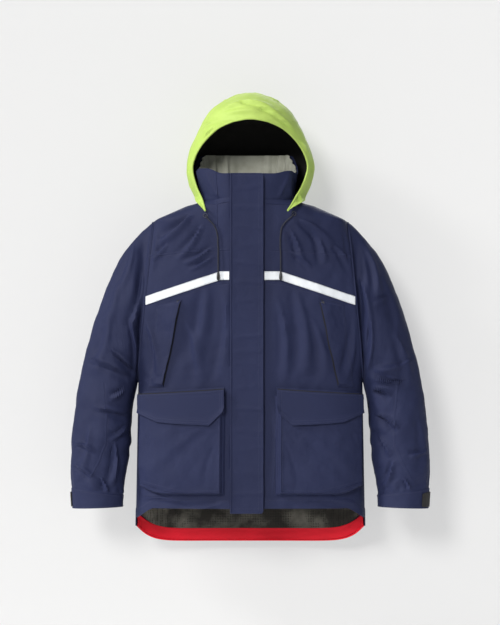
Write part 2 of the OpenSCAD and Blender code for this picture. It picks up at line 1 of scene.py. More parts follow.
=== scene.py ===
import math
import bmesh
import bpy
import numpy as np
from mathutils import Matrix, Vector


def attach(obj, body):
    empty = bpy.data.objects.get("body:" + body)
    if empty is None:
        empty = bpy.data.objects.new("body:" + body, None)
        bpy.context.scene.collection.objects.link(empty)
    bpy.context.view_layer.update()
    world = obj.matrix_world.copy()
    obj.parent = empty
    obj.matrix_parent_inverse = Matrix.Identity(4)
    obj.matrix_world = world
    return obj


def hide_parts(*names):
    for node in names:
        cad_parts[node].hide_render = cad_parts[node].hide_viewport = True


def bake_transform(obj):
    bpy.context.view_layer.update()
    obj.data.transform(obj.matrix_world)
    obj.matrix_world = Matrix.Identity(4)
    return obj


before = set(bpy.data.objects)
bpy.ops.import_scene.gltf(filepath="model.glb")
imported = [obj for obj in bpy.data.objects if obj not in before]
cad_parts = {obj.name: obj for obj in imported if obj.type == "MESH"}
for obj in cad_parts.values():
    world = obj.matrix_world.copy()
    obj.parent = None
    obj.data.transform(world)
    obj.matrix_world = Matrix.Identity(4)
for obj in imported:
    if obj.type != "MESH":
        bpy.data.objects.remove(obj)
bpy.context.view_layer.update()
MM = 0.001
TAU = 2 * math.pi


def linked(name, data):
    """A new object with this data, put into the scene."""
    obj = bpy.data.objects.new(name, data)
    bpy.context.scene.collection.objects.link(obj)
    return obj


# ---------------------------------------------------------------- camera
camera_data = bpy.data.cameras.new("front_camera")
camera = linked("front_camera", camera_data)
camera_far = 8.0
object_plane = -0.09
view_height = 1.5625
camera.location = (-0.001, object_plane - camera_far, -0.281)
camera.rotation_euler = (math.pi / 2, 0, 0)
camera_data.sensor_width = 36
camera_data.lens = 36 * camera_far / view_height
camera_data.clip_end = 60
bpy.context.scene.camera = camera
bpy.context.scene.view_settings.view_transform = "Standard"


# ---------------------------------------------------------------- numbers
def lerp(a, b, t):
    return a + (b - a) * t


def smooth(t):
    t = np.clip(t, 0, 1)
    return t * t * (3 - 2 * t)


def bell(d, width):
    return np.exp(-(d / width) ** 2)


def noise2(u, v, seed):
    """Smooth noise in two directions, about -0.7 to 0.7, the same each run."""
    angle = np.random.RandomState(seed).rand(64, 64) * TAU
    i, j = np.floor(u).astype(int), np.floor(v).astype(int)
    fu, fv = u - i, v - j

    def corner(di, dj):
        a = angle[(i + di) % 64, (j + dj) % 64]
        return np.cos(a) * (fu - di) + np.sin(a) * (fv - dj)

    su, sv = smooth(fu), smooth(fv)
    low = lerp(corner(0, 0), corner(1, 0), su)
    high = lerp(corner(0, 1), corner(1, 1), su)
    return lerp(low, high, sv)


def crease(x, z, x0, z0, x1, z1, width, height, valley=0.6):
    """A soft fold: a ridge along a line, with a valley on one side of it."""
    dx, dz = x1 - x0, z1 - z0
    length = math.hypot(dx, dz)
    t = ((x - x0) * dx + (z - z0) * dz) / length**2
    d = ((x - x0) * dz - (z - z0) * dx) / length
    d = d + 0.06 * length * np.sin(math.pi * np.clip(t, 0, 1))
    along = np.clip(1 - (2 * t - 1) ** 2, 0, 1) ** 0.8
    w = 0.85 * width * (0.45 + 0.65 * np.clip(t, 0, 1))
    return height * along * (bell(d, w) - valley * bell(d - 1.8 * w, 1.2 * w))


def creases(x, z, rows):
    total = np.zeros(np.broadcast(x, z).shape)
    for row in rows:
        total = total + crease(x, z, *row)
    return total


# ---------------------------------------------------------------- torso
SIDE = np.array([(-850, 288), (-455, 281), (-52, 240), (-46, 231), (-15, 160), (-8, 134), (0, 112)], float)
BACK = np.array([(-850, 30), (-450, 34), (-200, 36), (-46, 24), (0, 14)], float)
DROP = np.array([(-110, 0), (-46, 0.8), (0, 0.8)], float)
FRONT_Y = -150
YOKE_Z = -128
SQUARE = 3


def side_x(z):
    return np.interp(z, SIDE[:, 0], SIDE[:, 1])


def body(x, z, face, off):
    """A point of the torso. face is -1 in front and 1 behind, off is inward, all in mm."""
    x, z = np.broadcast_arrays(np.asarray(x, float), np.asarray(z, float))
    back = np.interp(z, BACK[:, 0], BACK[:, 1])
    half, mid = (back - FRONT_Y) / 2, (back + FRONT_Y) / 2
    ratio = np.clip((2 * z + 507) / 403, -1, 1)
    depth = 70 * np.sqrt(1 - ratio**2)
    w = side_x(z) / (1 - (depth / half) ** SQUARE) ** (1 / SQUARE)
    f = (1 - np.minimum(1, np.abs(x) / w) ** SQUARE) ** (1 / SQUARE)
    y = mid + face * ((half - off) * f + 0.3)
    return np.stack([x * (1 - off / w), y, z - off * np.interp(z, DROP[:, 0], DROP[:, 1])], -1)


def back_hem(x):
    return -857 + 42 * np.minimum(1, np.abs(x) / 288) ** 10


def front_hem(x):
    return -768 - 25 * smooth((np.abs(x) - 240) / 46)


FRONT_CREASES = [
    (-145, -40, -228, -108, 11, 5.0), (-118, -62, -178, -150, 9, 3.2), (-95, -118, -165, -160, 7, 3.0),
    (-92, -140, -150, -176, 5, 2.4), (-235, -75, -256, -190, 10, 3.0), (-205, -110, -246, -150, 8, 2.6),
    (-108, -215, -150, -420, 20, 3.6), (-62, -230, -78, -452, 12, 2.2), (-160, -300, -120, -470, 16, 2.4),
    (120, -50, 205, -118, 11, 4.6), (152, -66, 186, -160, 9, 3.4), (94, -70, 128, -158, 8, 2.8),
    (98, -128, 150, -170, 6, 2.4), (236, -78, 262, -176, 10, 3.2), (205, -112, 250, -168, 8, 2.4),
    (112, -225, 136, -440, 19, 3.4), (66, -240, 84, -460, 12, 2.4), (150, -290, 190, -452, 14, 2.0),
    (-262, -300, -225, -440, 12, 2.6), (262, -300, 232, -452, 12, 2.6),
    (-55, -500, -50, -740, 9, 1.8), (52, -500, 48, -740, 9, 1.6),
    (-270, -742, -120, -764, 10, 2.4), (-60, -750, -180, -770, 8, 1.8), (120, -748, 268, -760, 9, 2.4),
]
BACK_CREASES = [
    (-150, -60, -40, -120, 16, 4.0), (150, -60, 50, -128, 16, 4.0), (-210, -160, -120, -330, 16, 4.2),
    (210, -150, 130, -320, 16, 4.2), (-60, -200, -90, -520, 24, 3.6), (70, -230, 60, -560, 24, 3.4),
    (-250, -480, -60, -560, 15, 4.2), (255, -470, 80, -548, 14, 4.0), (-240, -600, -40, -640, 16, 3.4),
    (240, -610, 60, -652, 16, 3.2), (-180, -650, -200, -800, 16, 3.0), (150, -640, 170, -800, 16, 3.0),
    (0, -600, 10, -820, 18, 2.6), (-250, -300, -170, -470, 12, 3.0), (250, -320, 190, -460, 12, 3.0),
]


def front_folds(x, z):
    """How far the front's cloth stands out of its plain shape, in mm."""
    wide = 3.4 * noise2(x / 85 + 0.6 * z / 120, z / 150, 11)
    small = 1.1 * noise2(x / 26, z / 34, 12) + 0.35 * noise2(x / 9, z / 11, 13)
    total = 1.7 * (wide + small) + 2.2 * creases(x, z, FRONT_CREASES)
    edge = smooth((side_x(z) - np.abs(x)) / 16)
    centre = 0.12 + 0.88 * smooth((np.abs(x) - 34) / 34)
    neck = smooth((-z - 4) / 40)
    hem = 1.2 * smooth((front_hem(x) + 23 - z) / 3) * smooth((np.abs(x) - 6) / 4)
    beside_flap = 6.4 * smooth((x + 92) / 42) * smooth((-43 - x) / 4)
    return 9 * np.tanh(total / 9) * edge * centre * neck + hem + beside_flap


def back_folds(x, z):
    wide = 4.0 * noise2(x / 95, z / 150 + 0.5 * x / 200, 21)
    small = 1.3 * noise2(x / 30, z / 38, 22) + 0.4 * noise2(x / 10, z / 12, 23)
    total = 1.4 * (wide + small) + 1.5 * creases(x, z, BACK_CREASES)
    edge = smooth((side_x(z) - np.abs(x)) / 16)
    return 8 * np.tanh(total / 8) * edge * smooth((-z - 4) / 40) + 1.2 * smooth((back_hem(x) + 26 - z) / 3)


def front(x, z, off=0.0):
    return body(x, z, -1, off - front_folds(x, z))


def back(x, z, off=0.0):
    return body(x, z, 1, off - back_folds(x, z))


# ---------------------------------------------------------------- sleeves
RINGS = np.array([
    (241, -52, 282, -455, -57, 70), (290, -97, 285.5, -472, -58, 70), (333, -158, 290, -492, -60, 69),
    (366, -232, 294, -518, -62, 67), (393, -312, 297, -550, -65, 65), (417, -400, 299, -588, -68, 62),
    (435, -490, 302, -628, -72, 59), (445, -580, 308, -668, -76, 56), (448, -660, 314, -706, -80, 53),
    (447, -720, 318, -737, -82, 51), (444, -770, 320, -766, -84, 50),
], float)


def spline(table, s):
    """A smooth curve through a table's rows, at row number s."""
    s = np.clip(np.asarray(s, float), 0, len(table) - 1)
    i = np.minimum(np.floor(s).astype(int), len(table) - 2)
    t = (s - i)[..., None]
    p0, p1 = table[np.maximum(i - 1, 0)], table[i]
    p2, p3 = table[i + 1], table[np.minimum(i + 2, len(table) - 1)]
    m1 = np.where((i == 0)[..., None], p2 - p1, (p2 - p0) / 2)
    m2 = np.where((i == len(table) - 2)[..., None], p2 - p1, (p3 - p1) / 2)
    return ((2 * t**3 - 3 * t**2 + 1) * p1 + (t**3 - 2 * t**2 + t) * m1
            + (3 * t**2 - 2 * t**3) * p2 + (t**3 - t**2) * m2)


SLEEVE_CREASES = {
    -1: [(-409, -398, -300, -436, 9, 5.0), (-352, -372, -284, -432, 7, 4.6), (-391, -520, -296, -536, 9, 4.2),
         (-440, -606, -386, -626, 7, 3.4), (-440, -660, -392, -688, 7, 3.4), (-338, -600, -347, -716, 8, 4.6),
         (-292, -108, -330, -232, 10, 4.6), (-268, -175, -300, -330, 10, 4.2), (-330, -200, -372, -330, 14, 3.4),
         (-300, -300, -282, -450, 8, 5.0), (-350, -300, -392, -430, 14, 3.0), (-400, -560, -430, -700, 12, 2.4),
         (-312, -470, -350, -498, 7, 3.6), (-304, -560, -352, -600, 7, 3.4), (-372, -690, -356, -734, 5, 2.6)],
    1: [(409, -400, 305, -424, 9, 4.2), (388, -452, 296, -442, 7, 4.6), (311, -532, 370, -570, 8, 4.6),
        (356, -650, 334, -716, 8, 4.6), (446, -622, 396, -640, 7, 3.2), (300, -470, 352, -486, 7, 4.0),
        (286, -108, 322, -236, 10, 4.4), (266, -180, 296, -330, 10, 4.4), (330, -190, 380, -330, 14, 3.2),
        (300, -290, 284, -440, 8, 4.8), (360, -330, 400, -470, 14, 3.2), (420, -540, 436, -690, 12, 2.4),
        (380, -690, 400, -734, 5, 2.6), (318, -588, 348, -640, 7, 3.0), (350, -230, 300, -260, 9, 2.6)],
}
SLEEVE_BACK_CREASES = [
    (300, -130, 350, -300, 12, 4.4), (270, -200, 310, -400, 12, 4.4), (420, -400, 310, -470, 10, 5.0),
    (430, -470, 306, -520, 10, 4.6), (436, -560, 320, -590, 10, 4.0), (340, -600, 360, -710, 9, 4.0),
    (400, -600, 420, -710, 9, 3.4), (360, -330, 400, -450, 12, 3.4),
]


def sleeve_folds(side, s, a, x, z):
    """x and z are the plain point's place on the right side, a is in radians, 90 degrees in front."""
    ahead = np.sin(a)
    in_front = smooth(0.5 + 0.9 * ahead)
    n_front = noise2(x / 60 + side * 3.3, z / 70, 31)
    n_back = noise2(x / 60 + side * 7.7, z / 70, 32)
    wide = 4.2 * lerp(n_back, n_front, in_front)
    small = 1.3 * lerp(noise2(x / 24, z / 24, 33 + side), noise2(x / 24, z / 24, 36 + side), in_front)
    small = small + 0.4 * noise2(x / 9 + 5 * in_front, z / 9, 39)
    front_lines = creases(side * x, z, SLEEVE_CREASES[side]) * smooth(1.25 * ahead - 0.12)
    back_lines = creases(x, z, SLEEVE_BACK_CREASES) * smooth(-1.25 * ahead - 0.12)
    seam_valley = -15.0 * bell(s - 0.44, 0.42) * smooth(1.3 * np.abs(ahead))
    inner = smooth(-1.6 * np.cos(a) - 0.3)
    crumple = inner * 2.4 * np.sin(z / 7.5 + 2 * ahead) * bell(s - 5.2, 1.3)
    gather = 1.6 * smooth((s - 8.1) / 0.7) * smooth((9.02 - s) / 0.2) * np.sin(a * 11 + 2 * np.sin(a * 3))
    total = 1.7 * (wide + small) + 2.4 * (front_lines + back_lines) + crumple
    total = 12 * np.tanh(total / 12) + seam_valley + gather
    return total * smooth(s / 0.22) * (0.15 + 0.85 * smooth((9.05 - s) / 0.35))


def sleeve(side, s, a, off=0.0, folds=1.0):
    s, a = np.broadcast_arrays(np.asarray(s, float), np.asarray(a, float))
    k = spline(RINGS, s)
    hx, hz = (k[..., 0] - k[..., 2]) / 2, (k[..., 1] - k[..., 3]) / 2
    cx, cz = (k[..., 0] + k[..., 2]) / 2, (k[..., 1] + k[..., 3]) / 2
    x, z = cx + hx * np.cos(a), cz + hz * np.cos(a)
    o = off - folds * sleeve_folds(side, s, a, x, z)
    r = 1 - o / np.hypot(hx, hz)
    return np.stack([side * (cx + hx * r * np.cos(a)), k[..., 4] - (k[..., 5] - o) * np.sin(a),
                     cz + hz * r * np.cos(a)], -1)


# ---------------------------------------------------------------- collar and hood
def collar_top(a):
    away = np.degrees(np.minimum(a, TAU - a))
    left = a > math.pi
    corner = (7 + 6 * left) * smooth((away - 22) / 26) * smooth((82 - away) / 20)
    return 63 + 51 * smooth((away - 74) / 50) + corner


def collar_width(a, t):
    """Half width of the collar: its left side flares more at the top."""
    left = smooth((-np.sin(a) + 0.3) / 0.6)
    return lerp(lerp(111, 124, left), lerp(118, 137, left), np.clip(t, 0, 1))


def collar_folds(a, t):
    pull = 2.8 * np.sin(a * 7 + 3 * t) * bell(np.minimum(a, TAU - a) - 1.15, 0.42)
    wide = 2.6 * noise2(a * 2.1, t * 1.4, 41) + 0.9 * noise2(a * 6, t * 3.4, 42)
    lines = 2.6 * bell(np.minimum(a, TAU - a) - 0.55 - 0.35 * t, 0.07) * smooth(1.4 - t)
    centre = smooth((np.minimum(a, TAU - a) - 0.28) / 0.22)
    turned = np.degrees(a)
    beside_flap = 6.4 * smooth((turned - 322) / 21) * smooth((348 - turned) / 3)
    return (pull + wide + lines) * centre * smooth(t / 0.18) + beside_flap


def collar(a, t, off=0.0):
    a, t = np.broadcast_arrays(np.asarray(a, float), np.asarray(t, float))
    o = off - collar_folds(a, t) + 1.6 * smooth(-t / 0.03)
    w, d = collar_width(a, t) - o, 81 - o
    s, c = np.sin(a), np.cos(a)
    return np.stack([w * np.sign(s) * np.abs(s) ** 0.75, -69 - d * np.sign(c) * np.abs(c) ** 0.75,
                     lerp(1, collar_top(a), t)], -1)


def fleece_folds(a, t):
    tall = 3.4 * np.sin(a * 13 + 1.6 * np.sin(a * 5) + 1.2 * t) + 1.6 * np.sin(a * 29 + 2 * np.sin(a * 7))
    return tall * smooth(t / 0.4) + 1.8 * noise2(a * 5, t * 2, 51) + 0.7 * noise2(a * 18, t * 8, 52)


def fleece(a, t, off=0.0):
    a, t = np.broadcast_arrays(np.asarray(a, float), np.asarray(t, float))
    o = off + 4.4 - collar_folds(a, t) + np.maximum(0, 3.2 + fleece_folds(a, t))
    w, d = collar_width(a, t) - o, 81 - o
    s, c = np.sin(a), np.cos(a)
    return np.stack([w * np.sign(s) * np.abs(s) ** 0.75, -69 - d * np.sign(c) * np.abs(c) ** 0.75,
                     lerp(1, collar_top(a), t * lerp(0.985, 1.012, smooth(-np.cos(a) * 3)))], -1)


HOOD = np.array([
    (-30, 138, -210, 24, 125), (0, 139, -182, 38, 119), (40, 153, -168, 56, 115), (85, 161, -160, 68, 115),
    (130, 151, -158, 70, 122), (170, 133, -160, 62, 137), (190, 122, -163, 53, 155), (200, 117, -164, 48, 180),
    (225, 99, -155, 28, 180), (248, 68, -130, -4, 180), (264, 34, -98, -32, 180), (270, 10, -75, -52, 180),
], float)
HOOD_OPEN = 7
# how much further round the right edge reaches at each of the lowest rows, in degrees
HOOD_RIGHT = np.array([13.0, 8.0, 5.0, 1.0, 0.0, 0.0, 0.0])
HOOD_CREASES = [
    (-72, 222, -18, 240, 6, 3.4), (-30, 246, 60, 226, 7, 3.8), (10, 232, 74, 214, 5, 3.0),
    (40, 222, 104, 182, 6, 3.2), (-118, 150, -92, 180, 4, 2.8), (-60, 212, 30, 218, 9, 2.4),
    (120, 150, 142, 120, 5, 3.0), (-140, 60, -132, 20, 5, 2.4), (118, 20, 128, -14, 5, 3.0),
    (-128, 180, -70, 205, 6, -2.0),
]


def hood(s, u, off=0.0):
    s, u = np.broadcast_arrays(np.asarray(s, float), np.asarray(u, float))
    k = spline(HOOD, s)
    z, w, y_front, y_back = k[..., 0], k[..., 1], k[..., 2], k[..., 3]
    edge = np.minimum(180, k[..., 4])
    near_top = 180 - (180 - HOOD[6, 4]) * np.sqrt(np.clip(HOOD_OPEN - s, 0, 1))
    edge = np.where(s >= HOOD_OPEN - 1, near_top, edge)
    edge = edge + np.interp(s, range(7), HOOD_RIGHT) * smooth(u * 2 - 1)
    a = np.radians(u * edge)
    lift = 34 * (1 - u**6) * np.clip(1 - s, 0, 1) + 12 * (1 - u**6) * np.clip(1 - np.abs(s - 1), 0, 1)
    x0, z0 = w * np.sin(a), z + lift
    in_front = smooth(-np.cos(a) * 1.5 + 0.3)
    folds = 3.0 * noise2(x0 / 60 + 4 * in_front, z0 / 55, 61) + 1.1 * noise2(x0 / 22, z0 / 22 + 3 * in_front, 62)
    folds = 1.2 * folds + 1.5 * creases(x0, z0, HOOD_CREASES) * in_front
    calm = smooth((1 - np.abs(u)) / 0.06) + (s >= HOOD_OPEN) * (1 - smooth((1 - np.abs(u)) / 0.06))
    folds = folds * (0.15 + 0.85 * calm) * smooth((s + 0.05) / 0.6)
    o = off - folds
    d, m = (y_back - y_front) / 2 - o, (y_back + y_front) / 2
    top = np.interp(s, [7, 8, 9, 11], [0, 0.5, 1, 1]) * o
    return np.stack([(w - o) * np.sin(a), m + d * np.cos(a), z + lift - top], -1)


# ---------------------------------------------------------------- materials
def socket(shader, name, value):
    shader.inputs[name].default_value = value


MESH_CELL = 4.2  # mm from one hole of the mesh lining to the next


def material(name, base, other=None, rough=0.6, weave=0.0, bump=0.25, grain=0.0, patch=6.0, metallic=0.0,
             sheen=0.0, sheen_tint=(1, 1, 1), specular=0.5, kind="weave", edge=0.5):
    """A procedural finish. weave is the thread pitch in mm, grain is the size of fine grain in mm."""
    mat = bpy.data.materials.new(name)
    mat.use_nodes = True
    nodes, links = mat.node_tree.nodes, mat.node_tree.links
    shader = nodes["Principled BSDF"]

    def add(node_type, **values):
        """A new node. Each value or link goes to the socket of that name, with _ for a space."""
        node = nodes.new("ShaderNode" + node_type)
        for key, value in values.items():
            if isinstance(value, bpy.types.NodeSocket):
                links.new(value, node.inputs[key.replace("_", " ")])
            else:
                socket(node, key.replace("_", " "), value)
        return node

    def join(operation, first, second):
        node = add("Math")
        node.operation = operation
        links.new(first, node.inputs[0])
        links.new(second, node.inputs[1])
        return node.outputs["Value"]

    for key, value in {"Metallic": metallic, "Specular IOR Level": specular, "Sheen Weight": sheen,
                       "Sheen Roughness": 0.5, "Sheen Tint": (*sheen_tint, 1)}.items():
        socket(shader, key, value)
    where = add("TexCoord").outputs["Object"]
    tone = add("TexNoise", Scale=patch, Detail=4.0, Roughness=0.55, Vector=where).outputs["Fac"]
    ramp = add("ValToRGB", Fac=tone)
    low = other or tuple(c * 0.84 for c in base)
    for stop, spot, tint in zip(ramp.color_ramp.elements, (0.5 - edge * 0.4, 0.5 + edge * 0.4), (low, base)):
        stop.position, stop.color = spot, (*tint, 1)
    rough_map = add("MapRange", Value=tone, To_Min=max(0.02, rough - 0.07), To_Max=min(1.0, rough + 0.07))
    links.new(rough_map.outputs["Result"], shader.inputs["Roughness"])
    height = None
    colour = ramp.outputs["Color"]
    if weave:
        threads = []
        for direction in ("X", "Z"):
            wave = add("TexWave", Scale=TAU / (20 * weave * MM), Distortion=0.4, Detail=1.0, Vector=where)
            wave.wave_type = "BANDS"
            wave.bands_direction = direction
            threads.append(wave.outputs["Fac"])
        height = join("MULTIPLY", *threads)
    if kind == "mesh":
        cell = add("TexVoronoi", Scale=1 / (MESH_CELL * MM), Randomness=0.12, Vector=where)
        height = add("MapRange", Value=cell.outputs["Distance"], From_Min=0.2, From_Max=0.42).outputs["Result"]
        shade = add("Mix")
        shade.data_type = "RGBA"
        shade.inputs["A"].default_value = (0.012, 0.011, 0.010, 1)
        links.new(height, shade.inputs["Factor"])
        links.new(colour, shade.inputs["B"])
        colour = shade.outputs["Result"]
    if grain:
        fine = add("TexNoise", Scale=1 / (grain * MM), Detail=3.0, Vector=where).outputs["Fac"]
        height = fine if height is None else join("ADD", height, fine)
    links.new(colour, shader.inputs["Base Color"])
    if height is not None:
        relief = add("Bump", Strength=bump, Distance=0.0006, Height=height)
        links.new(relief.outputs["Normal"], shader.inputs["Normal"])
    return mat


NAVY = (0.0172, 0.0222, 0.0625)
MATERIALS = {
    "navy_fabric": material("navy_cloth", NAVY, (0.0136, 0.0176, 0.0510), rough=0.62, weave=1.1, grain=0.9,
                            bump=0.35, sheen=0.04, sheen_tint=(0.5, 0.55, 0.9), specular=0.16, patch=5),
    "lime_fabric": material("lime_cloth", (0.45, 0.60, 0.125), (0.37, 0.53, 0.090), rough=0.6, weave=1.1,
                            grain=0.9, bump=0.3, sheen=0.15, sheen_tint=(0.9, 1, 0.6), patch=7),
    "black_lining": material("hood_lining_cloth", (0.010, 0.009, 0.008), rough=0.75, weave=1.3, bump=0.3,
                             sheen=0.1, specular=0.3),
    "mesh": material("lining_mesh", (0.150, 0.142, 0.120), (0.030, 0.027, 0.023), rough=0.7, kind="mesh",
                     bump=0.6, patch=11, edge=0.22, specular=0.2),
    "red_fabric": material("red_cloth", (0.80, 0.010, 0.028), (0.68, 0.007, 0.020), rough=0.55, weave=0.9,
                           bump=0.3, sheen=0.03, sheen_tint=(1, 0.4, 0.4), patch=9, specular=0.2),
    "fleece": material("grey_fleece", (0.42, 0.425, 0.365), (0.31, 0.315, 0.26), rough=0.95, grain=1.6, bump=0.9,
                       sheen=0.25, patch=30, specular=0.1),
    "reflective_tape": material("silver_tape", (0.76, 0.785, 0.815), (0.68, 0.71, 0.745), rough=0.38, weave=1.6,
                                bump=0.2, grain=0.5, specular=0.6, patch=14),
    "black_tape": material("black_tape", (0.014, 0.014, 0.016), rough=0.8, weave=0.8, grain=0.5, bump=0.5,
                           specular=0.3, patch=30),
    "black_plastic": material("black_plastic", (0.012, 0.012, 0.013), rough=0.42, grain=0.4, bump=0.1, patch=60),
    "dark_metal": material("dark_metal", (0.16, 0.16, 0.17), (0.10, 0.10, 0.11), rough=0.34, metallic=1.0,
                           grain=0.3, bump=0.06, patch=80),
    "cord_fabric": material("braided_cord", (0.018, 0.020, 0.034), (0.010, 0.011, 0.020), rough=0.75, weave=1.0,
                            bump=0.8, patch=300, edge=0.2),
    "cuff_seal": material("cuff_seal", (0.016, 0.016, 0.018), rough=0.85, weave=1.8, grain=0.8, bump=0.7,
                          specular=0.3, patch=20),
    "grip_rubber": material("grip_rubber", (0.013, 0.012, 0.012), rough=0.6, grain=0.7, bump=0.35, patch=40),
    "thread": material("navy_thread", (0.030, 0.036, 0.092), (0.020, 0.024, 0.064), rough=0.55, grain=0.4,
                       bump=0.3, patch=200, specular=0.4),
    "lime_thread": material("lime_thread", (0.50, 0.78, 0.10), (0.40, 0.66, 0.07), rough=0.6, grain=0.4, bump=0.3,
                            patch=200),
}


# ---------------------------------------------------------------- meshes
def make(name, points, faces, slot, owner=None, stands_for=(), sharp=38, mat=None):
    mesh = bpy.data.meshes.new(name)
    mesh.from_pydata((np.asarray(points, float).reshape(-1, 3) * MM).tolist(), [], faces)
    bm = bmesh.new()
    bm.from_mesh(mesh)
    bmesh.ops.remove_doubles(bm, verts=bm.verts, dist=2e-6)
    bmesh.ops.dissolve_degenerate(bm, dist=1e-6, edges=bm.edges)
    bmesh.ops.recalc_face_normals(bm, faces=bm.faces)
    for f in bm.faces:
        f.smooth = True
    for e in bm.edges:
        e.smooth = len(e.link_faces) == 2 and e.calc_face_angle(0) < math.radians(sharp)
    bm.to_mesh(mesh)
    bm.free()
    obj = linked(name, mesh)
    mesh.materials.append(MATERIALS[mat or slot])
    if stands_for:
        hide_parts(*stands_for)
    if owner:
        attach(obj, owner)
    return obj


def grid_normals(grid, ring=False):
    rows = np.gradient(grid, axis=0)
    cols = (np.roll(grid, -1, 1) - np.roll(grid, 1, 1)) if ring else np.gradient(grid, axis=1)
    n = np.cross(rows, cols)
    return n / np.maximum(np.linalg.norm(n, axis=-1, keepdims=True), 1e-9)


def inset(grid, t, away, ring=False):
    """The grid moved by t against its outward side; away is a rough outward direction."""
    n = grid_normals(grid, ring)
    if np.mean(np.sum(n * away, -1)) < 0:
        n = -n
    return grid - n * (t[..., None] if hasattr(t, "shape") else t)


def slab_faces(rows, cols, ring=False):
    n = rows * cols
    faces = []
    last = cols if ring else cols - 1

    def at(r, c):
        return r * cols + c % cols

    for r in range(rows - 1):
        for c in range(last):
            a, b, d, e = at(r, c), at(r, c + 1), at(r + 1, c + 1), at(r + 1, c)
            faces += [(a, b, d, e), (n + e, n + d, n + b, n + a)]
    for c in range(last):
        faces.append((at(0, c), n + at(0, c), n + at(0, c + 1), at(0, c + 1)))
        r = rows - 1
        faces.append((at(r, c), at(r, c + 1), n + at(r, c + 1), n + at(r, c)))
    if not ring:
        for r in range(rows - 1):
            for c in (0, cols - 1):
                faces.append((at(r, c), at(r + 1, c), n + at(r + 1, c), n + at(r, c)))
    return faces


def slab(name, outer, inner, slot, owner=None, stands_for=(), ring=False, mat=None):
    rows, cols = outer.shape[:2]
    points = np.concatenate([outer.reshape(-1, 3), inner.reshape(-1, 3)])
    return make(name, points, slab_faces(rows, cols, ring), slot, owner, stands_for, mat=mat)


def run(surface, path, steps, lift=0.0):
    """Points and outward normals along a path of surface parameters."""
    path = np.asarray(path, float)
    d = np.r_[0, np.cumsum(np.linalg.norm(np.diff(path, axis=0), axis=1))]
    t = np.linspace(0, d[-1], steps)
    p = np.interp(t, d, path[:, 0])
    q = np.interp(t, d, path[:, 1])
    low, high = surface(p, q, -lift), surface(p, q, -lift - 1.0)
    n = high - low
    return low, n / np.maximum(np.linalg.norm(n, axis=-1, keepdims=True), 1e-9)


def tangents(points):
    t = np.gradient(points, axis=0)
    return t / np.maximum(np.linalg.norm(t, axis=-1, keepdims=True), 1e-9)


def sweep(name, points, normals, profile, slot, owner=None, stands_for=(), mat=None, sharp=50):
    """A closed strip along points. profile is a loop of (sideways, outward) in mm."""
    t = tangents(points)
    b = np.cross(t, normals)
    b = b / np.maximum(np.linalg.norm(b, axis=-1, keepdims=True), 1e-9)
    n = np.cross(b, t)
    profile = np.asarray(profile, float)
    k = len(profile)
    grid = points[:, None] + b[:, None] * profile[None, :, :1] + n[:, None] * profile[None, :, 1:]
    rows = len(points)
    faces = [tuple(range(k))[::-1], tuple((rows - 1) * k + i for i in range(k))]
    for r in range(rows - 1):
        for i in range(k):
            j = (i + 1) % k
            faces.append((r * k + i, r * k + j, (r + 1) * k + j, (r + 1) * k + i))
    return make(name, grid.reshape(-1, 3), faces, slot, owner, stands_for, sharp, mat)


def tape(width, height, sink=0.5):
    h = width / 2
    return [(-h, -sink), (-h, height * 0.4), (-h + 0.9, height), (0, height * 1.06), (h - 0.9, height),
            (h, height * 0.4), (h, -sink)]


def seam(name, surface, path, steps, profile, slot="navy_fabric", owner="jacket"):
    """A strip of tape or piping laid along a path on a surface."""
    return sweep(name, *run(surface, path, steps), profile, slot, owner)


def tube(radius, sides=8):
    return [(radius * math.cos(TAU * i / sides), radius * math.sin(TAU * i / sides)) for i in range(sides)]


def stitches(lines, pitch=3.6, length=2.4, radius=0.34):
    """Points and faces of a row of thread stitches along each line of (points, normals)."""
    points, faces = [], []
    for line, normals in lines:
        d = np.r_[0, np.cumsum(np.linalg.norm(np.diff(line, axis=0), axis=1))]
        count = max(1, int(d[-1] // pitch))
        middles = (np.arange(count) + 0.5) * d[-1] / count
        spots = []
        for shift in (-0.5, -0.28, 0.28, 0.5):
            at = np.clip(middles + shift * length, 0, d[-1])
            spots.append(np.stack([np.interp(at, d, line[:, i]) for i in range(3)], -1))
        n = np.stack([np.interp(middles, d, normals[:, i]) for i in range(3)], -1)
        t = spots[3] - spots[0]
        t = t / np.maximum(np.linalg.norm(t, axis=-1, keepdims=True), 1e-9)
        b = np.cross(t, n)
        for m in range(count):
            base = len(points)
            points.append(spots[0][m] - n[m] * 0.3)
            for k in (1, 2):
                for sx, sy in ((1, 0), (0, 1), (-1, 0), (0, -1)):
                    points.append(spots[k][m] + b[m] * sx * radius * 1.2 + n[m] * sy * radius)
            points.append(spots[3][m] - n[m] * 0.3)
            for i in range(4):
                j = (i + 1) % 4
                faces.append((base, base + 1 + j, base + 1 + i))
                faces.append((base + 1 + i, base + 1 + j, base + 5 + j, base + 5 + i))
                faces.append((base + 5 + i, base + 5 + j, base + 9))
    return points, faces


def stitch_piece(name, lines, slot, owner=None, mat="thread", **sizes):
    points, faces = stitches(lines, **sizes)
    return make(name, points, faces, slot, owner, mat=mat, sharp=80)


def shift_path(path, dx, dz=0.0):
    return [(x + dx, z + dz) for x, z in path]


NAMES = {-1: "left", 1: "right"}

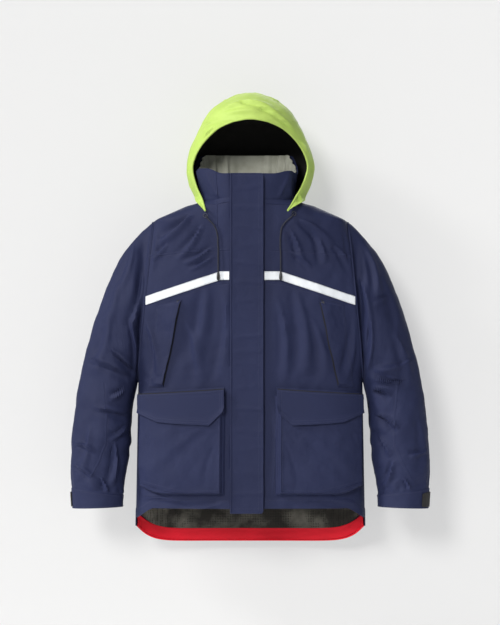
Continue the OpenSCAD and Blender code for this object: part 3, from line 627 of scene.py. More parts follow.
# ---------------------------------------------------------------- drawcords
CORD_LEFT = [
    (-112, -149, -40), (-110, -151.5, -43), (-106, -153, -48), (-101, -154, -53), (-96, -154.5, -58),
    (-91, -155, -64), (-87, -155, -71), (-84, -155, -79), (-82, -155, -88), (-81, -155.5, -98),
    (-81, -155.5, -109), (-80, -156, -121), (-80, -156, -133), (-80, -156.5, -145), (-80, -156.5, -157),
    (-80, -157, -169), (-80, -157, -181),
]
CORD_RIGHT = [
    (108, -149, -36), (106, -151.5, -39), (101, -153, -44), (95, -154, -49), (89, -154.5, -54),
    (84, -155, -60), (79, -155, -67), (76, -155, -76), (75, -155, -86), (74, -155.5, -97),
    (74, -155.5, -109), (74, -156, -121), (75, -156, -133), (75, -156.5, -145), (75, -156.5, -157),
    (75, -157, -169), (75, -157, -181),
]
for label, route in (("left", CORD_LEFT), ("right", CORD_RIGHT)):
    curve = bpy.data.curves.new(f"drawcord_{label}_cord", "CURVE")
    curve.dimensions = "3D"
    curve.bevel_depth = 1.75 * MM
    curve.bevel_resolution = 3
    curve.use_fill_caps = True
    line = curve.splines.new("POLY")
    fine = spline(np.array(route, float), np.linspace(0, len(route) - 1, 49))
    line.points.add(len(fine) - 1)
    for point, spot in zip(line.points, fine):
        point.co = (*(spot * MM), 1)
    cord = linked(f"drawcord_{label}_cord", curve)
    curve.materials.append(MATERIALS["cord_fabric"])
    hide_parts(f"drawcord_{label}")
    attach(cord, "jacket")

# ---------------------------------------------------------------- torso pieces
CLOTH_T = 1.5


def front_grid(side, v, u, top, x0):
    """A grid on the front between z = top and the hem or the yoke seam."""
    z_mid = lerp(top, -768.0, v)[:, None] if top == YOKE_Z else lerp(0.0, YOKE_Z, v)[:, None]
    x = lerp(x0, side_x(z_mid), np.sin(u[None, :] * math.pi / 2))
    z = z_mid + 0 * x
    for again in range(5 if top == YOKE_Z else 0):
        z = lerp(top, front_hem(x), v[:, None])
        x = lerp(x0, side_x(z), np.sin(u[None, :] * math.pi / 2))
    return side * x, z


for side in (-1, 1):
    label = NAMES[side]
    u = np.linspace(0, 1, 64)
    x, z = front_grid(side, np.linspace(0, 1, 170), u, YOKE_Z, 8)
    outer = front(x, z)
    slab(f"front_panel_{label}_cloth", outer, inset(outer, CLOTH_T, [side * 0.3, -1, 0]), "navy_fabric",
         "jacket", [f"front_panel_{label}"])
    x, z = front_grid(side, np.linspace(0, 1, 48) ** 1.3, u, 0, 8)
    outer = front(x, z)
    slab(f"yoke_{label}_cloth", outer, inset(outer, CLOTH_T, [side * 0.3, -1, 0.3]), "navy_fabric",
         "jacket", [f"yoke_{label}"])

u = np.linspace(-1, 1, 111)
v = np.linspace(0, 1, 190)
z_mid = lerp(0.0, -830.0, v)[:, None]
x = side_x(z_mid) * np.sin(u[None, :] * math.pi / 2)
for _ in range(5):
    z = np.where(v[:, None] < 0.5, z_mid + 0 * x, lerp(-415.0, back_hem(x), (v[:, None] - 0.5) * 2))
    x = side_x(z) * np.sin(u[None, :] * math.pi / 2)
outer = back(x, z)
slab("back_panel_cloth", outer, inset(outer, CLOTH_T, [0, 1, 0]), "navy_fabric", "jacket", ["back_panel"])

# linings inside the body
for side in (-1, 1):
    label = NAMES[side]
    v, u = np.linspace(0, 1, 110), np.linspace(0, 1, 36)
    z = lerp(-24.0, -757.0, v)[:, None]
    x = lerp(28, side_x(z), np.sin(u[None, :] * math.pi / 2))
    z = z + 0 * x
    folds = 1.3 * noise2(side * x / 30, z / 45, 71) * smooth((side_x(z) - x) / 20)
    outer = body(side * x, z, -1, 12.6 - folds)
    slab(f"mesh_lining_{label}_cloth", outer, inset(outer, 0.9, [side * 0.3, -1, 0]), "mesh", "jacket",
         [f"mesh_lining_{label}"])
v, u = np.linspace(0, 1, 150), np.linspace(-1, 1, 91)
z_mid = lerp(-24.0, -815.0, v)[:, None]
x = side_x(z_mid) * np.sin(u[None, :] * math.pi / 2)
for _ in range(5):
    z = np.where(v[:, None] < 0.6, z_mid + 0 * x, lerp(-498.6, back_hem(x) + 30, (v[:, None] - 0.6) / 0.4))
    x = side_x(z) * np.sin(u[None, :] * math.pi / 2)
folds = 2.4 * noise2(x / 34, z / 26, 72) + 1.2 * noise2(x / 13, z / 12, 73)
folds = folds * (0.4 + 0.6 * smooth((-z - 700) / 60)) * smooth((side_x(z) - np.abs(x)) / 20)
outer = body(x, z, 1, 12.2 - folds * 0.9 + 1.5 * smooth((back_hem(x) + 46 - z) / 8) * -1)
slab("mesh_lining_back_cloth", outer, inset(outer, 0.9, [0, 1, 0]), "mesh", "jacket", ["mesh_lining_back"])


def facing(x, z, off=0.0):
    wave = 0.8 * noise2(x / 28, z / 12, 74) + 0.5 * noise2(x / 9, z / 9, 75)
    return body(x, z, 1, 6.4 - 3.2 * smooth((np.abs(x) - 262) / 24) + wave + off)


u, v = np.linspace(-1, 1, 141), np.linspace(0, 1, 16)
x = 286.5 * np.sin(u[None, :] * math.pi / 2) + 0 * v[:, None]
z = lerp(back_hem(x) + 31, back_hem(x) + 1.5, v[:, None])
outer = facing(x, z, -0.6)
inner = facing(x, z, 0.9 + 0.8 * bell(v[:, None] - 0.08, 0.06) + 0.9 * bell(v[:, None] - 1, 0.08))
slab("hem_facing_cloth", outer, inner, "red_fabric", "jacket", ["hem_facing"])
hem_x = 286.5 * np.sin(np.linspace(-1, 1, 200) * math.pi / 2)
seam("back_hem_binding", lambda p, q, o: body(p, q, 1, 3.0 + o), list(zip(hem_x, back_hem(hem_x) - 0.6)), 300,
     tube(2.3, 10), "red_fabric")

# ---------------------------------------------------------------- collar, fleece and hanger loop
a = np.radians(np.linspace(3.4, 356.6, 171))
t = np.concatenate([[-0.16, -0.08], np.linspace(0, 1, 30)])
outer = collar(a[None, :], t[:, None])
thick = 1.6 + 1.2 * bell(t - 1, 0.06)[:, None, None] + 0 * outer[..., :1]
slab("collar_shell_cloth", outer, inset(outer, thick[..., 0], outer - [0, -69, 40]), "navy_fabric", "jacket",
     ["collar_shell"])
a = np.radians(np.linspace(6, 354, 201))
t = np.linspace(0, 1, 34)
outer = fleece(a[None, :], t[:, None])
slab("collar_fleece_pile", outer, inset(outer, 2.6, outer - [0, -69, 40]), "fleece", "jacket", ["collar_fleece"])
for first, last, label in ((4, 96, "right"), (264, 356, "left")):
    points, normals = run(collar, [(math.radians(first), 1.0), (math.radians(last), 1.0)], 110, lift=-1.0)
    sweep(f"collar_top_piping_{label}", points + [0, 0, 0.3], normals, tube(1.5, 8), "navy_fabric", "jacket")
seam("collar_front_seam", collar, [(math.radians(326), 0.01), (math.radians(326), 0.97)], 60, tape(5, 0.9))
seam("yoke_front_seam", front, [(-84, -6), (-84, -66)], 40, tape(5, 0.9))

angle = np.linspace(-20, 200, 60)
arch = np.stack([23 * np.cos(np.radians(angle)), 0 * angle, -22 + 23 * np.sin(np.radians(angle))], -1)
arch = arch[(angle >= 0) & (angle <= 180)]
legs = np.linspace(-36, -24, 8)
right_leg = np.stack([23 + 0 * legs, 0 * legs, legs], -1)
left_leg = np.stack([-23 + 0 * legs, 0 * legs, legs[::-1]], -1)
points = np.concatenate([right_leg, arch, left_leg])
normals = points - [0, 0, -22]
normals[:8], normals[-8:] = [1, 0, 0], [-1, 0, 0]
normals = normals / np.linalg.norm(normals, axis=1, keepdims=True)
profile = [(-3, -0.9), (-3, 0.7), (-1.5, 1.0), (0, 0.8), (1.5, 1.0), (3, 0.7), (3, -0.9), (0, -0.8)]
sweep("hanger_loop_tape", points, normals, profile, "navy_fabric", "jacket", ["hanger_loop"])

# ---------------------------------------------------------------- hood
s_rows = np.concatenate([np.linspace(0, 7, 92), np.linspace(7, 11, 40)[1:]])
u = np.linspace(-1, 1, 141)


def hood_grid(off):
    return hood(s_rows[:, None], u[None, :], off)


def hood_piece(name, off, thickness, slot, node):
    outer, inner = hood_grid(off), hood_grid(off + thickness)
    rows, cols = outer.shape[:2]
    n = rows * cols
    closed = int(np.argmax(s_rows >= HOOD_OPEN))
    faces = []
    for r in range(rows - 1):
        for c in range(cols - 1):
            p, q = r * cols + c, r * cols + c + 1
            k, m = (r + 1) * cols + c + 1, (r + 1) * cols + c
            faces += [(p, q, k, m), (n + m, n + k, n + q, n + p)]
    for c in range(cols - 1):
        faces.append((c, n + c, n + c + 1, c + 1))
    for r in range(closed):
        for c in (0, cols - 1):
            faces.append((r * cols + c, (r + 1) * cols + c, n + (r + 1) * cols + c, n + r * cols + c))
    last = (rows - 1) * cols
    for shift in (0, n):
        faces.append(tuple(shift + last + c for c in range(cols - 1)))
    points = np.concatenate([outer.reshape(-1, 3), inner.reshape(-1, 3)])
    return make(name, points, faces, slot, "hood", [node])


hood_piece("hood_shell_cloth", 0.2, 1.5, "lime_fabric", "hood_shell")
hood_piece("hood_lining_cloth", 3.2, 1.2, "black_lining", "hood_lining")


edge_s = np.concatenate([np.linspace(0.02, 6.98, 80), np.linspace(6.98, 0.02, 80)])
edge_u = np.repeat([0.995, -0.995], 80)
low, high = hood(edge_s, edge_u, 2.0), hood(edge_s, edge_u, 0.0)
edge_normals = (high - low) / np.maximum(np.linalg.norm(high - low, axis=1, keepdims=True), 1e-9)
sweep("hood_edge_binding", low, edge_normals, tube(2.6, 10), "lime_fabric", "hood", ["hood_brim"])
brim_lines = []
for inward in (0.055, 0.085):
    for sign in (1, -1):
        brim_lines.append(run(hood, [(0.25, sign * (1 - inward)), (6.2, sign * (1 - inward * 1.2))], 200, lift=0.1))
stitch_piece("hood_edge_stitching", brim_lines, "lime_fabric", "hood", mat="lime_thread")
panel_lines = []
for sign in (1, -1):
    path = [(1.3, sign * 0.52), (3, sign * 0.50), (5, sign * 0.46), (7, sign * 0.36), (8.4, sign * 0.40),
            (9.3, sign * 0.56)]
    seam(f"hood_panel_seam_{NAMES[sign]}", hood, path, 160, tape(6, 0.7), "lime_fabric", "hood")
    for apart in (-0.012, 0.012):
        panel_lines.append(run(hood, [(p, q + apart) for p, q in path], 160, lift=0.7))
stitch_piece("hood_panel_stitching", panel_lines, "lime_fabric", "hood", mat="lime_thread")

# ---------------------------------------------------------------- storm flap
FLAP_X0, FLAP_X1, FLAP_TOP, FLAP_LOW = -45.0, 32.0, 65.0, -780.0
FLAP_PULLS = [30, -20, -70, -113, -160, -205, -250, -297, -340, -377, -410, -465, -520, -575, -620, -680, -730]


def flap_surface(x, z, off=0.0):
    across = smooth((x - FLAP_X0) / 14) * smooth((FLAP_X1 + 4 - x) / 10)
    wave = 0.9 * noise2(x / 26, z / 60, 81) + 0.35 * noise2(x / 9, z / 12, 82)
    for i, level in enumerate(FLAP_PULLS):
        tilt = 0.16 * math.sin(2.3 * i + 1)
        wave = wave + (0.95 + 0.35 * math.sin(1.7 * i)) * bell(z - level - tilt * x, 6.5 + 2 * math.sin(3.1 * i))
    x, z = np.broadcast_arrays(x, z)
    return np.stack([x + 0.7 * noise2(x / 80, z / 50, 83), -159.0 - across * (wave - 0.5) + off, z], -1)


v, u = np.linspace(0, 1, 290), np.linspace(0, 1, 30)
corner = 6 * np.sqrt(np.clip(1 - ((u[None, :] * 77 - 71) / 6) ** 2 * (u[None, :] * 77 > 71), 0, 1))
z = lerp(FLAP_TOP - 6 + corner, FLAP_LOW + 6 - corner, v[:, None])
x = lerp(FLAP_X0, FLAP_X1, u[None, :]) + 0 * z
outer = flap_surface(x, z)
rim = 1.9 + 0.5 * bell(x - FLAP_X1, 5)
inner = outer + np.stack([0 * x, rim, 0 * x], -1)
slab("storm_flap_cloth", outer, inner, "navy_fabric", "storm_flap", ["storm_flap"])
path = [(FLAP_X1 - 0.6, FLAP_TOP - 6), (FLAP_X1 - 0.6, FLAP_LOW + 6)]
points, normals = run(flap_surface, path, 300, lift=-1.0)
sweep("storm_flap_piping", points, normals, tube(1.35, 8), "navy_fabric", "storm_flap")
lines = [run(flap_surface, [(x, FLAP_TOP - 7), (x, FLAP_LOW + 7)], 400, lift=0.1)
         for x in (FLAP_X1 - 5, FLAP_X1 - 11)]
lines.append(run(flap_surface, [(FLAP_X0 + 4, FLAP_LOW + 12), (FLAP_X1 - 5, FLAP_LOW + 12)], 40, lift=0.1))
lines.append(run(flap_surface, [(FLAP_X0 + 4, FLAP_TOP - 7), (FLAP_X1 - 5, FLAP_TOP - 7)], 40, lift=0.1))
stitch_piece("storm_flap_stitching", lines, "navy_fabric", "storm_flap")

z = np.linspace(FLAP_TOP, FLAP_LOW, 300)
points = np.stack([-48.0 + 0.5 * noise2(z / 60, 0 * z, 84), -155.2 + 0.5 * noise2(z / 40, 0 * z, 85), z], -1)
normals = np.tile([0.0, -1.0, 0.0], (300, 1))
profile = [(-8, -4.2), (-8, -0.6), (-4, 1.6), (-1, 3.0), (1.4, 3.4), (2.4, 2.9), (2.4, -4.2)]
sweep("storm_flap_seam_tape", points, normals, profile, "navy_fabric", "jacket", ["storm_flap_seam"])
stitch_piece("storm_flap_seam_stitching", [(points + [0, -3.5, 0], normals)], "navy_fabric", "jacket")

# ---------------------------------------------------------------- zip
ZIP_TOP, ZIP_LOW = 58.0, -774.0


def strip(name, x0, x1, y, thickness, z0, z1, slot, nodes, ripple, seed):
    z = np.linspace(z0, z1, 200)[:, None]
    x = np.linspace(x0, x1, 12)[None, :]
    wave = ripple * noise2(x / 18, z / 30, seed)
    outer = np.stack([x + 0 * z, y + wave, z + 0 * x], -1)
    return slab(name, outer, outer + [0, thickness, 0], slot, "jacket", nodes)


strip("zip_tape_left_cloth", -15, -1, -146.0, 0.9, ZIP_TOP, ZIP_LOW, "black_tape", ["zip_tape_left"], 0.12, 91)
strip("zip_tape_right_cloth", 1, 15, -146.0, 0.9, ZIP_TOP, ZIP_LOW, "black_tape", ["zip_tape_right"], 0.12, 92)
strip("zip_guard_cloth", -26, 26, -140.2, 1.6, ZIP_TOP - 8, ZIP_LOW, "navy_fabric", ["zip_guard"], 0.8, 93)

for side in (-1, 1):
    points, faces = [], []
    for i in range(int((ZIP_TOP - ZIP_LOW) / 3.0)):
        z0 = ZIP_TOP - 1.6 - 3.0 * i - (0.75 if side > 0 else -0.75)
        shape = [(0.15, 0.95), (1.4, 0.6), (3.2, 0.85), (4.0, 0.85),
                 (4.0, -0.85), (3.2, -0.85), (1.4, -0.6), (0.15, -0.95)]
        base = len(points)
        for y in (-148.5, -146.4):
            points += [(side * px, y, z0 + pz) for px, pz in shape]
        k = len(shape)
        faces += [tuple(base + j for j in range(k)), tuple(base + k + j for j in reversed(range(k)))]
        faces += [(base + j, base + (j + 1) % k, base + k + (j + 1) % k, base + k + j) for j in range(k)]
    make(f"zip_teeth_{NAMES[side]}_row", points, faces, "black_plastic", "jacket", [f"zip_teeth_{NAMES[side]}"],
         sharp=30)

# ---------------------------------------------------------------- chest band and pockets
def band_top(x):
    return -179 - np.maximum(0, np.abs(x) - 74) * 0.335


torso_lines = {-1: [], 1: []}
for side, x0 in ((-1, 51.5), (1, 34)):
    label = NAMES[side]
    x = np.linspace(x0, 259.0, 110)[None, :]
    v = np.linspace(0, 1, 14)[:, None]
    z = band_top(x) - 21 * v
    outer = front(side * x, z + 0 * x, -2.1)
    slab(f"reflective_band_{label}_tape", outer, front(side * x, z + 0 * x, -1.0), "reflective_tape", "jacket",
         [f"reflective_band_{label}"])
    for inward in (1.6, 19.4):
        path = [(side * px, band_top(px) - inward) for px in np.linspace(x0 + 1, 257, 60)]
        torso_lines[side].append(run(front, path, 260, lift=2.2))

# the ends of the chest pocket's slit and of its facing's outer edge, as (distance from the middle, height)
SLIT_TOP, SLIT_LOW = (169, -250), (215, -466)
FACING_TOP, FACING_LOW = (232, -262), (253, -466)
for side in (-1, 1):
    label = NAMES[side]

    def facing_at(p, q, off, side=side):
        """p runs down the facing from 0 to 1, q across it from the slit."""
        x = lerp(lerp(SLIT_TOP[0], SLIT_LOW[0], p), lerp(FACING_TOP[0], FACING_LOW[0], p), q)
        z = lerp(lerp(SLIT_TOP[1], SLIT_LOW[1], p), lerp(FACING_TOP[1], FACING_LOW[1], p), q)
        closed = smooth(p / 0.05) * smooth((1 - p) / 0.04)
        gape = bell(p - 0.22, 0.12) * bell(q, 0.5) * 1.6
        rise = lerp(8.2, 1.3, smooth(q * 1.02)) + gape + 0.5 * noise2(x / 16, z / 26, 95 + side)
        return front(side * x, z, -lerp(2.2, rise, closed) + off)

    v, u = np.linspace(0, 1, 90)[:, None], np.linspace(0, 1, 26)[None, :]
    slab(f"chest_facing_{label}_cloth", facing_at(v, u, 0.0), facing_at(v, u, 1.1), "navy_fabric", "jacket",
         [f"chest_facing_{label}"])
    slit_x, slit_z = lerp(SLIT_TOP[0], SLIT_LOW[0], v), lerp(SLIT_TOP[1], SLIT_LOW[1], v)
    for q in (0.05, 0.11, 0.92, 0.985):
        torso_lines[side].append(run(facing_at, [(0.02, q), (0.98, q)], 220, lift=0.1))
    torso_lines[side].append(run(facing_at, [(0.02, 0.05), (0.02, 0.96)], 60, lift=0.1))
    u = np.linspace(0, 1, 8)[None, :]
    x = lerp(slit_x, slit_x + 9, u) + 1
    z = slit_z + 0 * u
    slab(f"chest_zip_{label}_tape", front(side * x, z, -2.0), front(side * x, z, -0.9), "black_tape", "jacket",
         [f"chest_zip_{label}"])
    points, faces = [], []
    down = np.linspace(0.01, 0.99, 86)
    for i, p in enumerate(down):
        spot = front(side * (lerp(SLIT_TOP[0], SLIT_LOW[0], p) + 6), lerp(SLIT_TOP[1], SLIT_LOW[1], p), -2.0)
        base = len(points)
        for dy, w in ((0.2, 1.9), (-0.55, 1.4)):
            for sx, sz in ((-1, -0.8), (1, -0.8), (1, 0.8), (-1, 0.8)):
                points.append((spot[0] + sx * w, spot[1] + dy, spot[2] + sz))
        faces += [(base, base + 1, base + 2, base + 3), (base + 7, base + 6, base + 5, base + 4)]
        faces += [(base + j, base + 4 + j, base + 4 + (j + 1) % 4, base + (j + 1) % 4) for j in range(4)]
    make(f"chest_zip_{label}_coil", points, faces, "black_plastic", "jacket", sharp=30)

# seams on the torso
for side in (-1, 1):
    label = NAMES[side]
    seams = {
        "yoke": [(side * 44, YOKE_Z + 4), (side * 105, YOKE_Z + 1), (side * 160, YOKE_Z - 2),
                 (side * 252, YOKE_Z - 12)],
        "under_band": [(side * 44, -205), (side * 90, -211), (side * 160, -233), (side * 235, -257)],
        "collar_base": [(side * 14, -9), (side * 60, -10), (side * 92, -11), (side * 118, -13)],
    }
    for seam_name, path in seams.items():
        seam(f"{seam_name}_seam_{label}", front, path, 160, tape(5, 0.45))
        torso_lines[side].append(run(front, shift_path(path, 0, -4.5), 200, lift=0.1))
    hem = [(side * px, front_hem(px) + 20) for px in np.linspace(40, 280, 40)]
    torso_lines[side].append(run(front, hem, 260, lift=0.1))
    edge = [(side * 14, YOKE_Z), (side * 14, -770)]
    torso_lines[side].append(run(front, edge, 400, lift=0.1))
    path = [(side * (side_x(pz) - 3.0), pz) for pz in np.linspace(-462, -786, 40)]
    seam(f"side_seam_{label}", front, path, 120, tape(5, 0.5))
    stitch_piece(f"torso_stitching_{label}", torso_lines[side], "navy_fabric", "jacket")

back_lines = []
for name, path in {
    "back_yoke": [(-246, -150), (-120, -142), (0, -140), (120, -142), (246, -150)],
    "back_panel_left": [(-120, -146), (-150, -300), (-160, -560), (-172, -828)],
    "back_panel_right": [(120, -146), (150, -300), (160, -560), (172, -828)],
}.items():
    seam(f"{name}_seam", back, path, 260, tape(6, 0.6))
    for apart in (-4.5, 4.5):
        shifted = shift_path(path, 0, apart) if name == "back_yoke" else shift_path(path, apart)
        back_lines.append(run(back, shifted, 300, lift=0.1))
hem_x = np.linspace(-276, 276, 80)
for lift in (8, 26):
    back_lines.append(run(back, list(zip(hem_x, back_hem(hem_x) + lift)), 400, lift=0.1))
stitch_piece("back_stitching", back_lines, "navy_fabric", "jacket")

# ---------------------------------------------------------------- cargo pockets
POCKET_DEEP = 14.6


def pocket_height(x, z):
    inner = 0.35 * smooth((x - 62) / 3.5) + 0.65 * smooth((x - 66) / 5.5)
    outer = smooth((274 - x) / 12)
    lift = 22 * smooth((np.abs(x - 150) - 40) / 90) ** 2 * (x > 150)
    floor = smooth((z - (-737 + lift)) / 8.5)
    sag = 1.6 * bell(z + 690, 40) * bell(x - 165, 80)
    return (POCKET_DEEP * inner * outer + sag * inner * outer) * floor


def pocket_folds(side, x, z):
    wide = 1.9 * noise2(side * x / 60, z / 70, 101) + 0.7 * noise2(side * x / 22, z / 26, 102)
    lines = creases(x, z, [(100, -560, 250, -700, 16, 1.8), (245, -570, 268, -720, 9, 1.6),
                           (80, -600, 110, -715, 9, -1.2)])
    return (wide + lines) * smooth((x - 70) / 14) * smooth((264 - x) / 20) * smooth((z + 730) / 16)


def pocket(side, x, z, off=0.0):
    return front(side * x, z, -0.9 - pocket_height(x, z) - pocket_folds(side, x, z) + off)


def flap_low(x):
    """Lower edge of a cargo flap against its distance from the storm flap's side."""
    return np.interp(x, [66, 69, 103, 190, 232, 283], [-518, -528, -561, -557, -553, -531])


def cargo_flap(side, x, t, off=0.0):
    """x is the real distance sideways, t runs down the flap from 0 to 1."""
    x, t = np.broadcast_arrays(np.asarray(x, float), np.asarray(t, float))
    top = np.interp(x, [66, 283], [-470.0, -484.0])
    z = lerp(top, flap_low(x), t)
    param = x / (1 + 19.5 / 282)
    curl = 1.6 * smooth((t - 0.72) / 0.28) + 1.2 * bell(x - 69, 5) * t
    wave = 0.9 * noise2(side * x / 55, z / 30, 103) * t + 1.1 * bell(t - 0.06, 0.05)
    height = lerp(17.2, 19.0, smooth(t / 0.2)) + curl + wave
    return body(side * param, z, -1, -height + off)


for side in (-1, 1):
    label = NAMES[side]
    x = np.concatenate([np.linspace(62, 73, 12), np.linspace(76, 256, 58), np.linspace(259, 274, 16)])[None, :]
    z = np.concatenate([np.linspace(-488, -704, 60), np.linspace(-707, -738, 26)])[:, None]
    x, z = x + 0 * z, z + 0 * x
    outer = pocket(side, x, z)
    inner = front(side * x, z, -0.55 - np.maximum(0, pocket_height(x, z) + pocket_folds(side, x, z) - 1.6))
    slab(f"cargo_pocket_{label}_cloth", outer, inner, "navy_fabric", "jacket", [f"cargo_pocket_{label}"])

    def on_pocket(p, q, off, side=side):
        return pocket(side, p, q, off)

    def on_flap(p, q, off, side=side):
        return cargo_flap(side, p, q, off)

    lines = [run(on_pocket, path, 260, lift=0.1) for path in (
        [(75, -492), (75, -722), (160, -724), (255, -700)], [(59, -560), (59, -736)],
        [(80, -492), (262, -492)])]
    path = [(72.2, -490), (72.2, -726), (150, -729), (200, -724), (262, -704)]
    seam(f"cargo_pocket_edge_{label}", on_pocket, path, 240, tube(1.15, 8))
    stitch_piece(f"cargo_pocket_stitching_{label}", lines, "navy_fabric", "jacket")

    v, u = np.linspace(0, 1, 10)[:, None], np.linspace(0, 1, 70)[None, :]
    x = lerp(64, 268, u) + 0 * v
    z = lerp(-466.0, -484.0, v) - 12.5 * u
    rise = 1.5 + 12.5 * smooth(v * 1.25)
    outer = front(side * x, z, -rise)
    slab(f"cargo_header_{label}_cloth", outer, front(side * x, z, -rise + 1.3), "navy_fabric", "jacket",
         [f"cargo_header_{label}"])

    t = np.linspace(0, 1, 34)[:, None]
    x = np.concatenate([np.linspace(66, 106, 26), np.linspace(109, 283, 74)])[None, :]
    outer, inner = cargo_flap(side, x, t), cargo_flap(side, x, t, 2.1)
    slab(f"cargo_flap_{label}_cloth", outer, inner, "navy_fabric", f"cargo_flap_{label}", [f"cargo_flap_{label}"])
    lines = []
    for inward in (5.0, 11.0):
        px = np.linspace(66 + inward, 283 - inward, 80)
        level = 1 - inward / 84
        lines.append(run(on_flap, list(zip(px, 0 * px + level)), 260, lift=0.1))
        for end in (66 + inward, 283 - inward):
            lines.append(run(on_flap, [(end, 0.06), (end, level)], 60, lift=0.1))
    lines.append(run(on_flap, [(70, 0.07), (279, 0.07)], 240, lift=0.1))
    stitch_piece(f"cargo_flap_stitching_{label}", lines, "navy_fabric", f"cargo_flap_{label}")
    # painted shadow: a thin near-black strip along the flap's top edge stands for the shade where the flap meets the
    # header; it is no real seam
    seam(f"cargo_flap_top_painted_shadow_{label}", on_flap, [(67, 0.012), (282, 0.012)], 160, tape(2.6, 0.5), "black_tape",
         f"cargo_flap_{label}")

# ---------------------------------------------------------------- sleeves
BLEND_DIR = np.array([0.93, 0.0, -0.37])


def bend(obj, side):
    """Bakes the object's place into its mesh. The direction d is worked out but not used, so the cloth is not bent."""
    d = BLEND_DIR * [side, 1, 1]
    d = d / np.linalg.norm(d)
    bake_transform(obj)


for side in (-1, 1):
    label = NAMES[side]

    def on_sleeve(p, q, off, side=side):
        return sleeve(side, p, np.radians(q), off)

    s = np.concatenate([np.linspace(0, 1, 34)[:-1], np.linspace(1, 8, 150)[:-1], np.linspace(8, 9, 30)])
    a = np.linspace(0, TAU, 97)[:-1]
    outer = sleeve(side, s[:, None], a[None, :])
    middle = outer.mean(axis=1, keepdims=True)
    inner = inset(outer, CLOTH_T, outer - middle, ring=True)
    piece = slab(f"sleeve_{label}_cloth", outer, inner, "navy_fabric", None,
                 [f"shoulder_{label}", f"sleeve_{label}"],
                 ring=True)
    bend(piece, side)
    lines = []
    forearm = [(4.7, 78), (5.6, 96), (6.6, 101), (7.4, 92), (8.3, 74)]
    back_of_arm = [(0.6, 282), (3, 276), (6, 268), (8.8, 262)]
    for seam_name, path in (("forearm", forearm), ("back_arm", back_of_arm)):
        bend(seam(f"{seam_name}_seam_{label}", on_sleeve, path, 200, tape(5, 0.5), owner=None), side)
        lines.append(run(on_sleeve, [(p, q + 4) for p, q in path], 300, lift=0.1))
    seam(f"armhole_seam_{label}", on_sleeve, [(0.06, 0), (0.06, 359)], 400, tape(5.5, 0.7))
    bend(stitch_piece(f"sleeve_stitching_{label}", lines, "navy_fabric"), side)

    # cuff, with a wide turned hem, and its seal
    s = np.linspace(8.98, 10, 40)
    outer = sleeve(side, s[:, None], a[None, :], folds=0.0)
    proud = 1.3 * smooth((s - 8.98) / 0.04) + 0.5 * bell(s - 9.97, 0.04)
    wave = 1.0 * noise2(a[None, :] * 3 + 2 * side, s[:, None] * 2.2, 111)
    n = inset(outer, 1.0, outer - middle[-1:], ring=True) - outer
    outer = outer - n * (proud[:, None, None] + wave[..., None] * smooth((s - 9) / 0.3)[:, None, None])
    slab(f"cuff_{label}_cloth", outer, inset(outer, 2.2, outer - middle[-1:], ring=True), "navy_fabric",
         f"sleeve_{label}", [f"cuff_{label}"], ring=True)

    def on_cuff(p, q, off, side=side):
        return sleeve(side, p, np.radians(q), off - 1.4, folds=0.0)

    cuff_lines = [run(on_cuff, [(level, 50), (level, 255)], 240, lift=0.4) for level in (9.08, 9.9)]
    stitch_piece(f"cuff_stitching_{label}", cuff_lines, "navy_fabric", f"sleeve_{label}")

    s = np.linspace(8.2, 9.8, 44)
    ribs = 0.9 * np.sin(a[None, :] * 34) + 1.3 * np.sin(s[:, None] * 9) * np.sin(a[None, :] * 5)
    outer = sleeve(side, s[:, None], a[None, :], 12.6 + 0 * ribs, folds=0.0)
    outer = inset(outer, 1.0 + ribs * smooth((s - 8.2) / 0.3)[:, None], outer - middle[-1:], ring=True)
    slab(f"inner_cuff_{label}_knit", outer, inset(outer, 1.4, outer - middle[-1:], ring=True), "cuff_seal",
         f"sleeve_{label}", [f"inner_cuff_{label}"], ring=True)

    # adjuster tab and its moulded grip
    turn = 0 if side > 0 else -34
    for name, slot, from_a, to_a, node, rise in (
            (f"cuff_tab_{label}_cloth", "navy_fabric", -100, turn + 1, f"cuff_tab_{label}", 3.3),
            (f"tab_grip_{label}_rubber", "grip_rubber", turn - 1, turn + 46, f"tab_grip_{label}", 3.9)):
        angles = np.linspace(from_a, to_a, 44)[None, :]
        levels = np.linspace(9.18, 9.92, 22)[:, None]
        along = (angles - from_a) / (to_a - from_a)
        nose = 0.0 if slot == "navy_fabric" else 0.10
        levels = 9.55 + (levels - 9.55) * (1 - nose * smooth((along - 0.75) / 0.25) ** 2)
        ridge = 0.0 if slot == "navy_fabric" else 0.55
        relief = ridge * (np.sin(along * 46) > 0.2) * smooth((along - 0.25) / 0.1) * smooth((0.92 - along) / 0.05)
        edge = smooth((levels - levels.min(axis=0)) / 0.03) * smooth((levels.max(axis=0) - levels) / 0.03)
        high = sleeve(side, levels + 0 * angles, np.radians(angles), -rise - relief * edge, folds=0.0)
        low = sleeve(side, levels + 0 * angles, np.radians(angles), -2.0, folds=0.0)
        slab(name, high, low, slot, f"cuff_tab_{label}", [node])
    tab_lines = [run(lambda p, q, o: sleeve(side, p, np.radians(q), o - 3.3, folds=0.0),
                     [(level, -96), (level, turn - 3)], 160, lift=0.1) for level in (9.24, 9.86)]
    stitch_piece(f"cuff_tab_stitching_{label}", tab_lines, "navy_fabric", f"cuff_tab_{label}")

# ---------------------------------------------------------------- CAD pieces that stay
KEPT = {
    "zip_slider": "dark_metal", "zip_puller": "black_plastic", "zip_stops": "dark_metal",
    "flap_hook_patches": "black_tape", "flap_loop_patches": "black_tape", "cord_eyelets": "dark_metal",
    "chest_slider_left": "dark_metal", "chest_slider_right": "dark_metal",
    "cord_end_left": "black_plastic", "cord_end_right": "black_plastic",
}
for node, slot in KEPT.items():
    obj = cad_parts[node]
    obj.data.materials.clear()
    obj.data.materials.append(MATERIALS[slot])


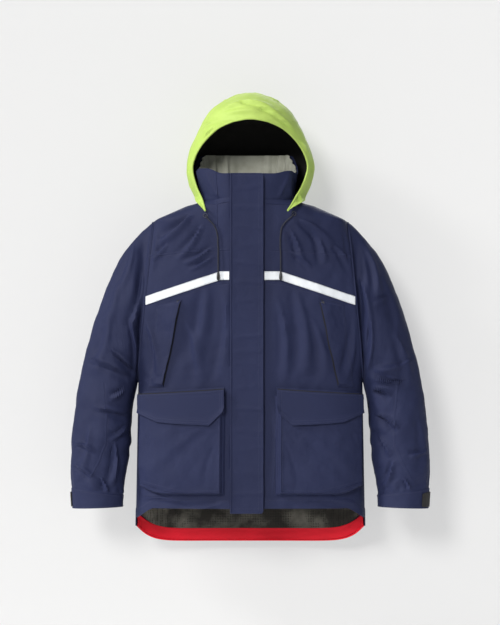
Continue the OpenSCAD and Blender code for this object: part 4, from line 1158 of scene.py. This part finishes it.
# ---------------------------------------------------------------- stage
def stage_material(name, colour, one_sided):
    mat = bpy.data.materials.new(name)
    mat.use_nodes = True
    nodes, links = mat.node_tree.nodes, mat.node_tree.links
    shader = nodes["Principled BSDF"]
    socket(shader, "Base Color", (*colour, 1))
    socket(shader, "Roughness", 0.95)
    socket(shader, "Specular IOR Level", 0.1)
    if one_sided:
        glow = nodes.new("ShaderNodeEmission")
        socket(glow, "Strength", 0.475)
        lit = nodes.new("ShaderNodeAddShader")
        links.new(shader.outputs["BSDF"], lit.inputs[0])
        links.new(glow.outputs["Emission"], lit.inputs[1])
        clear = nodes.new("ShaderNodeBsdfTransparent")
        mix = nodes.new("ShaderNodeMixShader")
        side_of = nodes.new("ShaderNodeNewGeometry")
        rays = nodes.new("ShaderNodeLightPath")
        front_side = nodes.new("ShaderNodeMath")
        front_side.operation = "SUBTRACT"
        front_side.use_clamp = True
        links.new(rays.outputs["Is Camera Ray"], front_side.inputs[0])
        links.new(side_of.outputs["Backfacing"], front_side.inputs[1])
        links.new(front_side.outputs["Value"], mix.inputs["Fac"])
        links.new(clear.outputs["BSDF"], mix.inputs[1])
        links.new(lit.outputs["Shader"], mix.inputs[2])
        links.new(mix.outputs["Shader"], nodes["Material Output"].inputs["Surface"])
    return mat


def plane(name, corners, mat):
    mesh = bpy.data.meshes.new(name)
    mesh.from_pydata(corners, [], [(0, 1, 2, 3)])
    obj = linked(name, mesh)
    mesh.materials.append(mat)
    return obj


PALE, GREY = (0.88, 0.88, 0.88), (0.31, 0.31, 0.31)
REACH, FLOOR_Z, WALL_Y, WALL_TOP = 5, -1.12, 0.075, 3.0  # metres
plane("floor", [(-REACH, -REACH, FLOOR_Z), (REACH, -REACH, FLOOR_Z), (REACH, REACH, FLOOR_Z), (-REACH, REACH, FLOOR_Z)],
      stage_material("floor_pale", PALE, False))
plane("backdrop", [(-REACH, WALL_Y, FLOOR_Z), (REACH, WALL_Y, FLOOR_Z), (REACH, WALL_Y, WALL_TOP),
                   (-REACH, WALL_Y, WALL_TOP)],
      stage_material("backdrop_pale", GREY, True))


def lamp(name, place, target, size, power, colour=(1, 1, 1)):
    data = bpy.data.lights.new(name, "AREA")
    data.shape = "RECTANGLE"
    data.size, data.size_y = size
    data.energy = power
    data.color = colour
    obj = linked(name, data)
    obj.location = place
    obj.rotation_euler = (Vector(target) - Vector(place)).to_track_quat("-Z", "Y").to_euler()
    return obj


def sun(name, direction, strength, spread):
    data = bpy.data.lights.new(name, "SUN")
    data.energy, data.angle = strength, math.radians(spread)
    data.color = (1.0, 0.99, 0.97)
    obj = linked(name, data)
    obj.rotation_euler = Vector(direction).to_track_quat("-Z", "Y").to_euler()


sun("key", (0.45, 1.0, -0.52), 2.3, 18)
sun("rake", (1.0, 0.34, -0.68), 2.3, 12)
lamp("fill_back", (0.6, 3.2, 1.2), (0, 0, -0.35), (2.6, 2.6), 60, (0.97, 0.98, 1.0))
world = bpy.data.worlds.new("even_light")
bpy.context.scene.world = world
world.use_nodes = True
world.node_tree.nodes["Background"].inputs["Color"].default_value = (0.95, 0.97, 1.0, 1)
world.node_tree.nodes["Background"].inputs["Strength"].default_value = 0.30

bpy.context.view_layer.update()
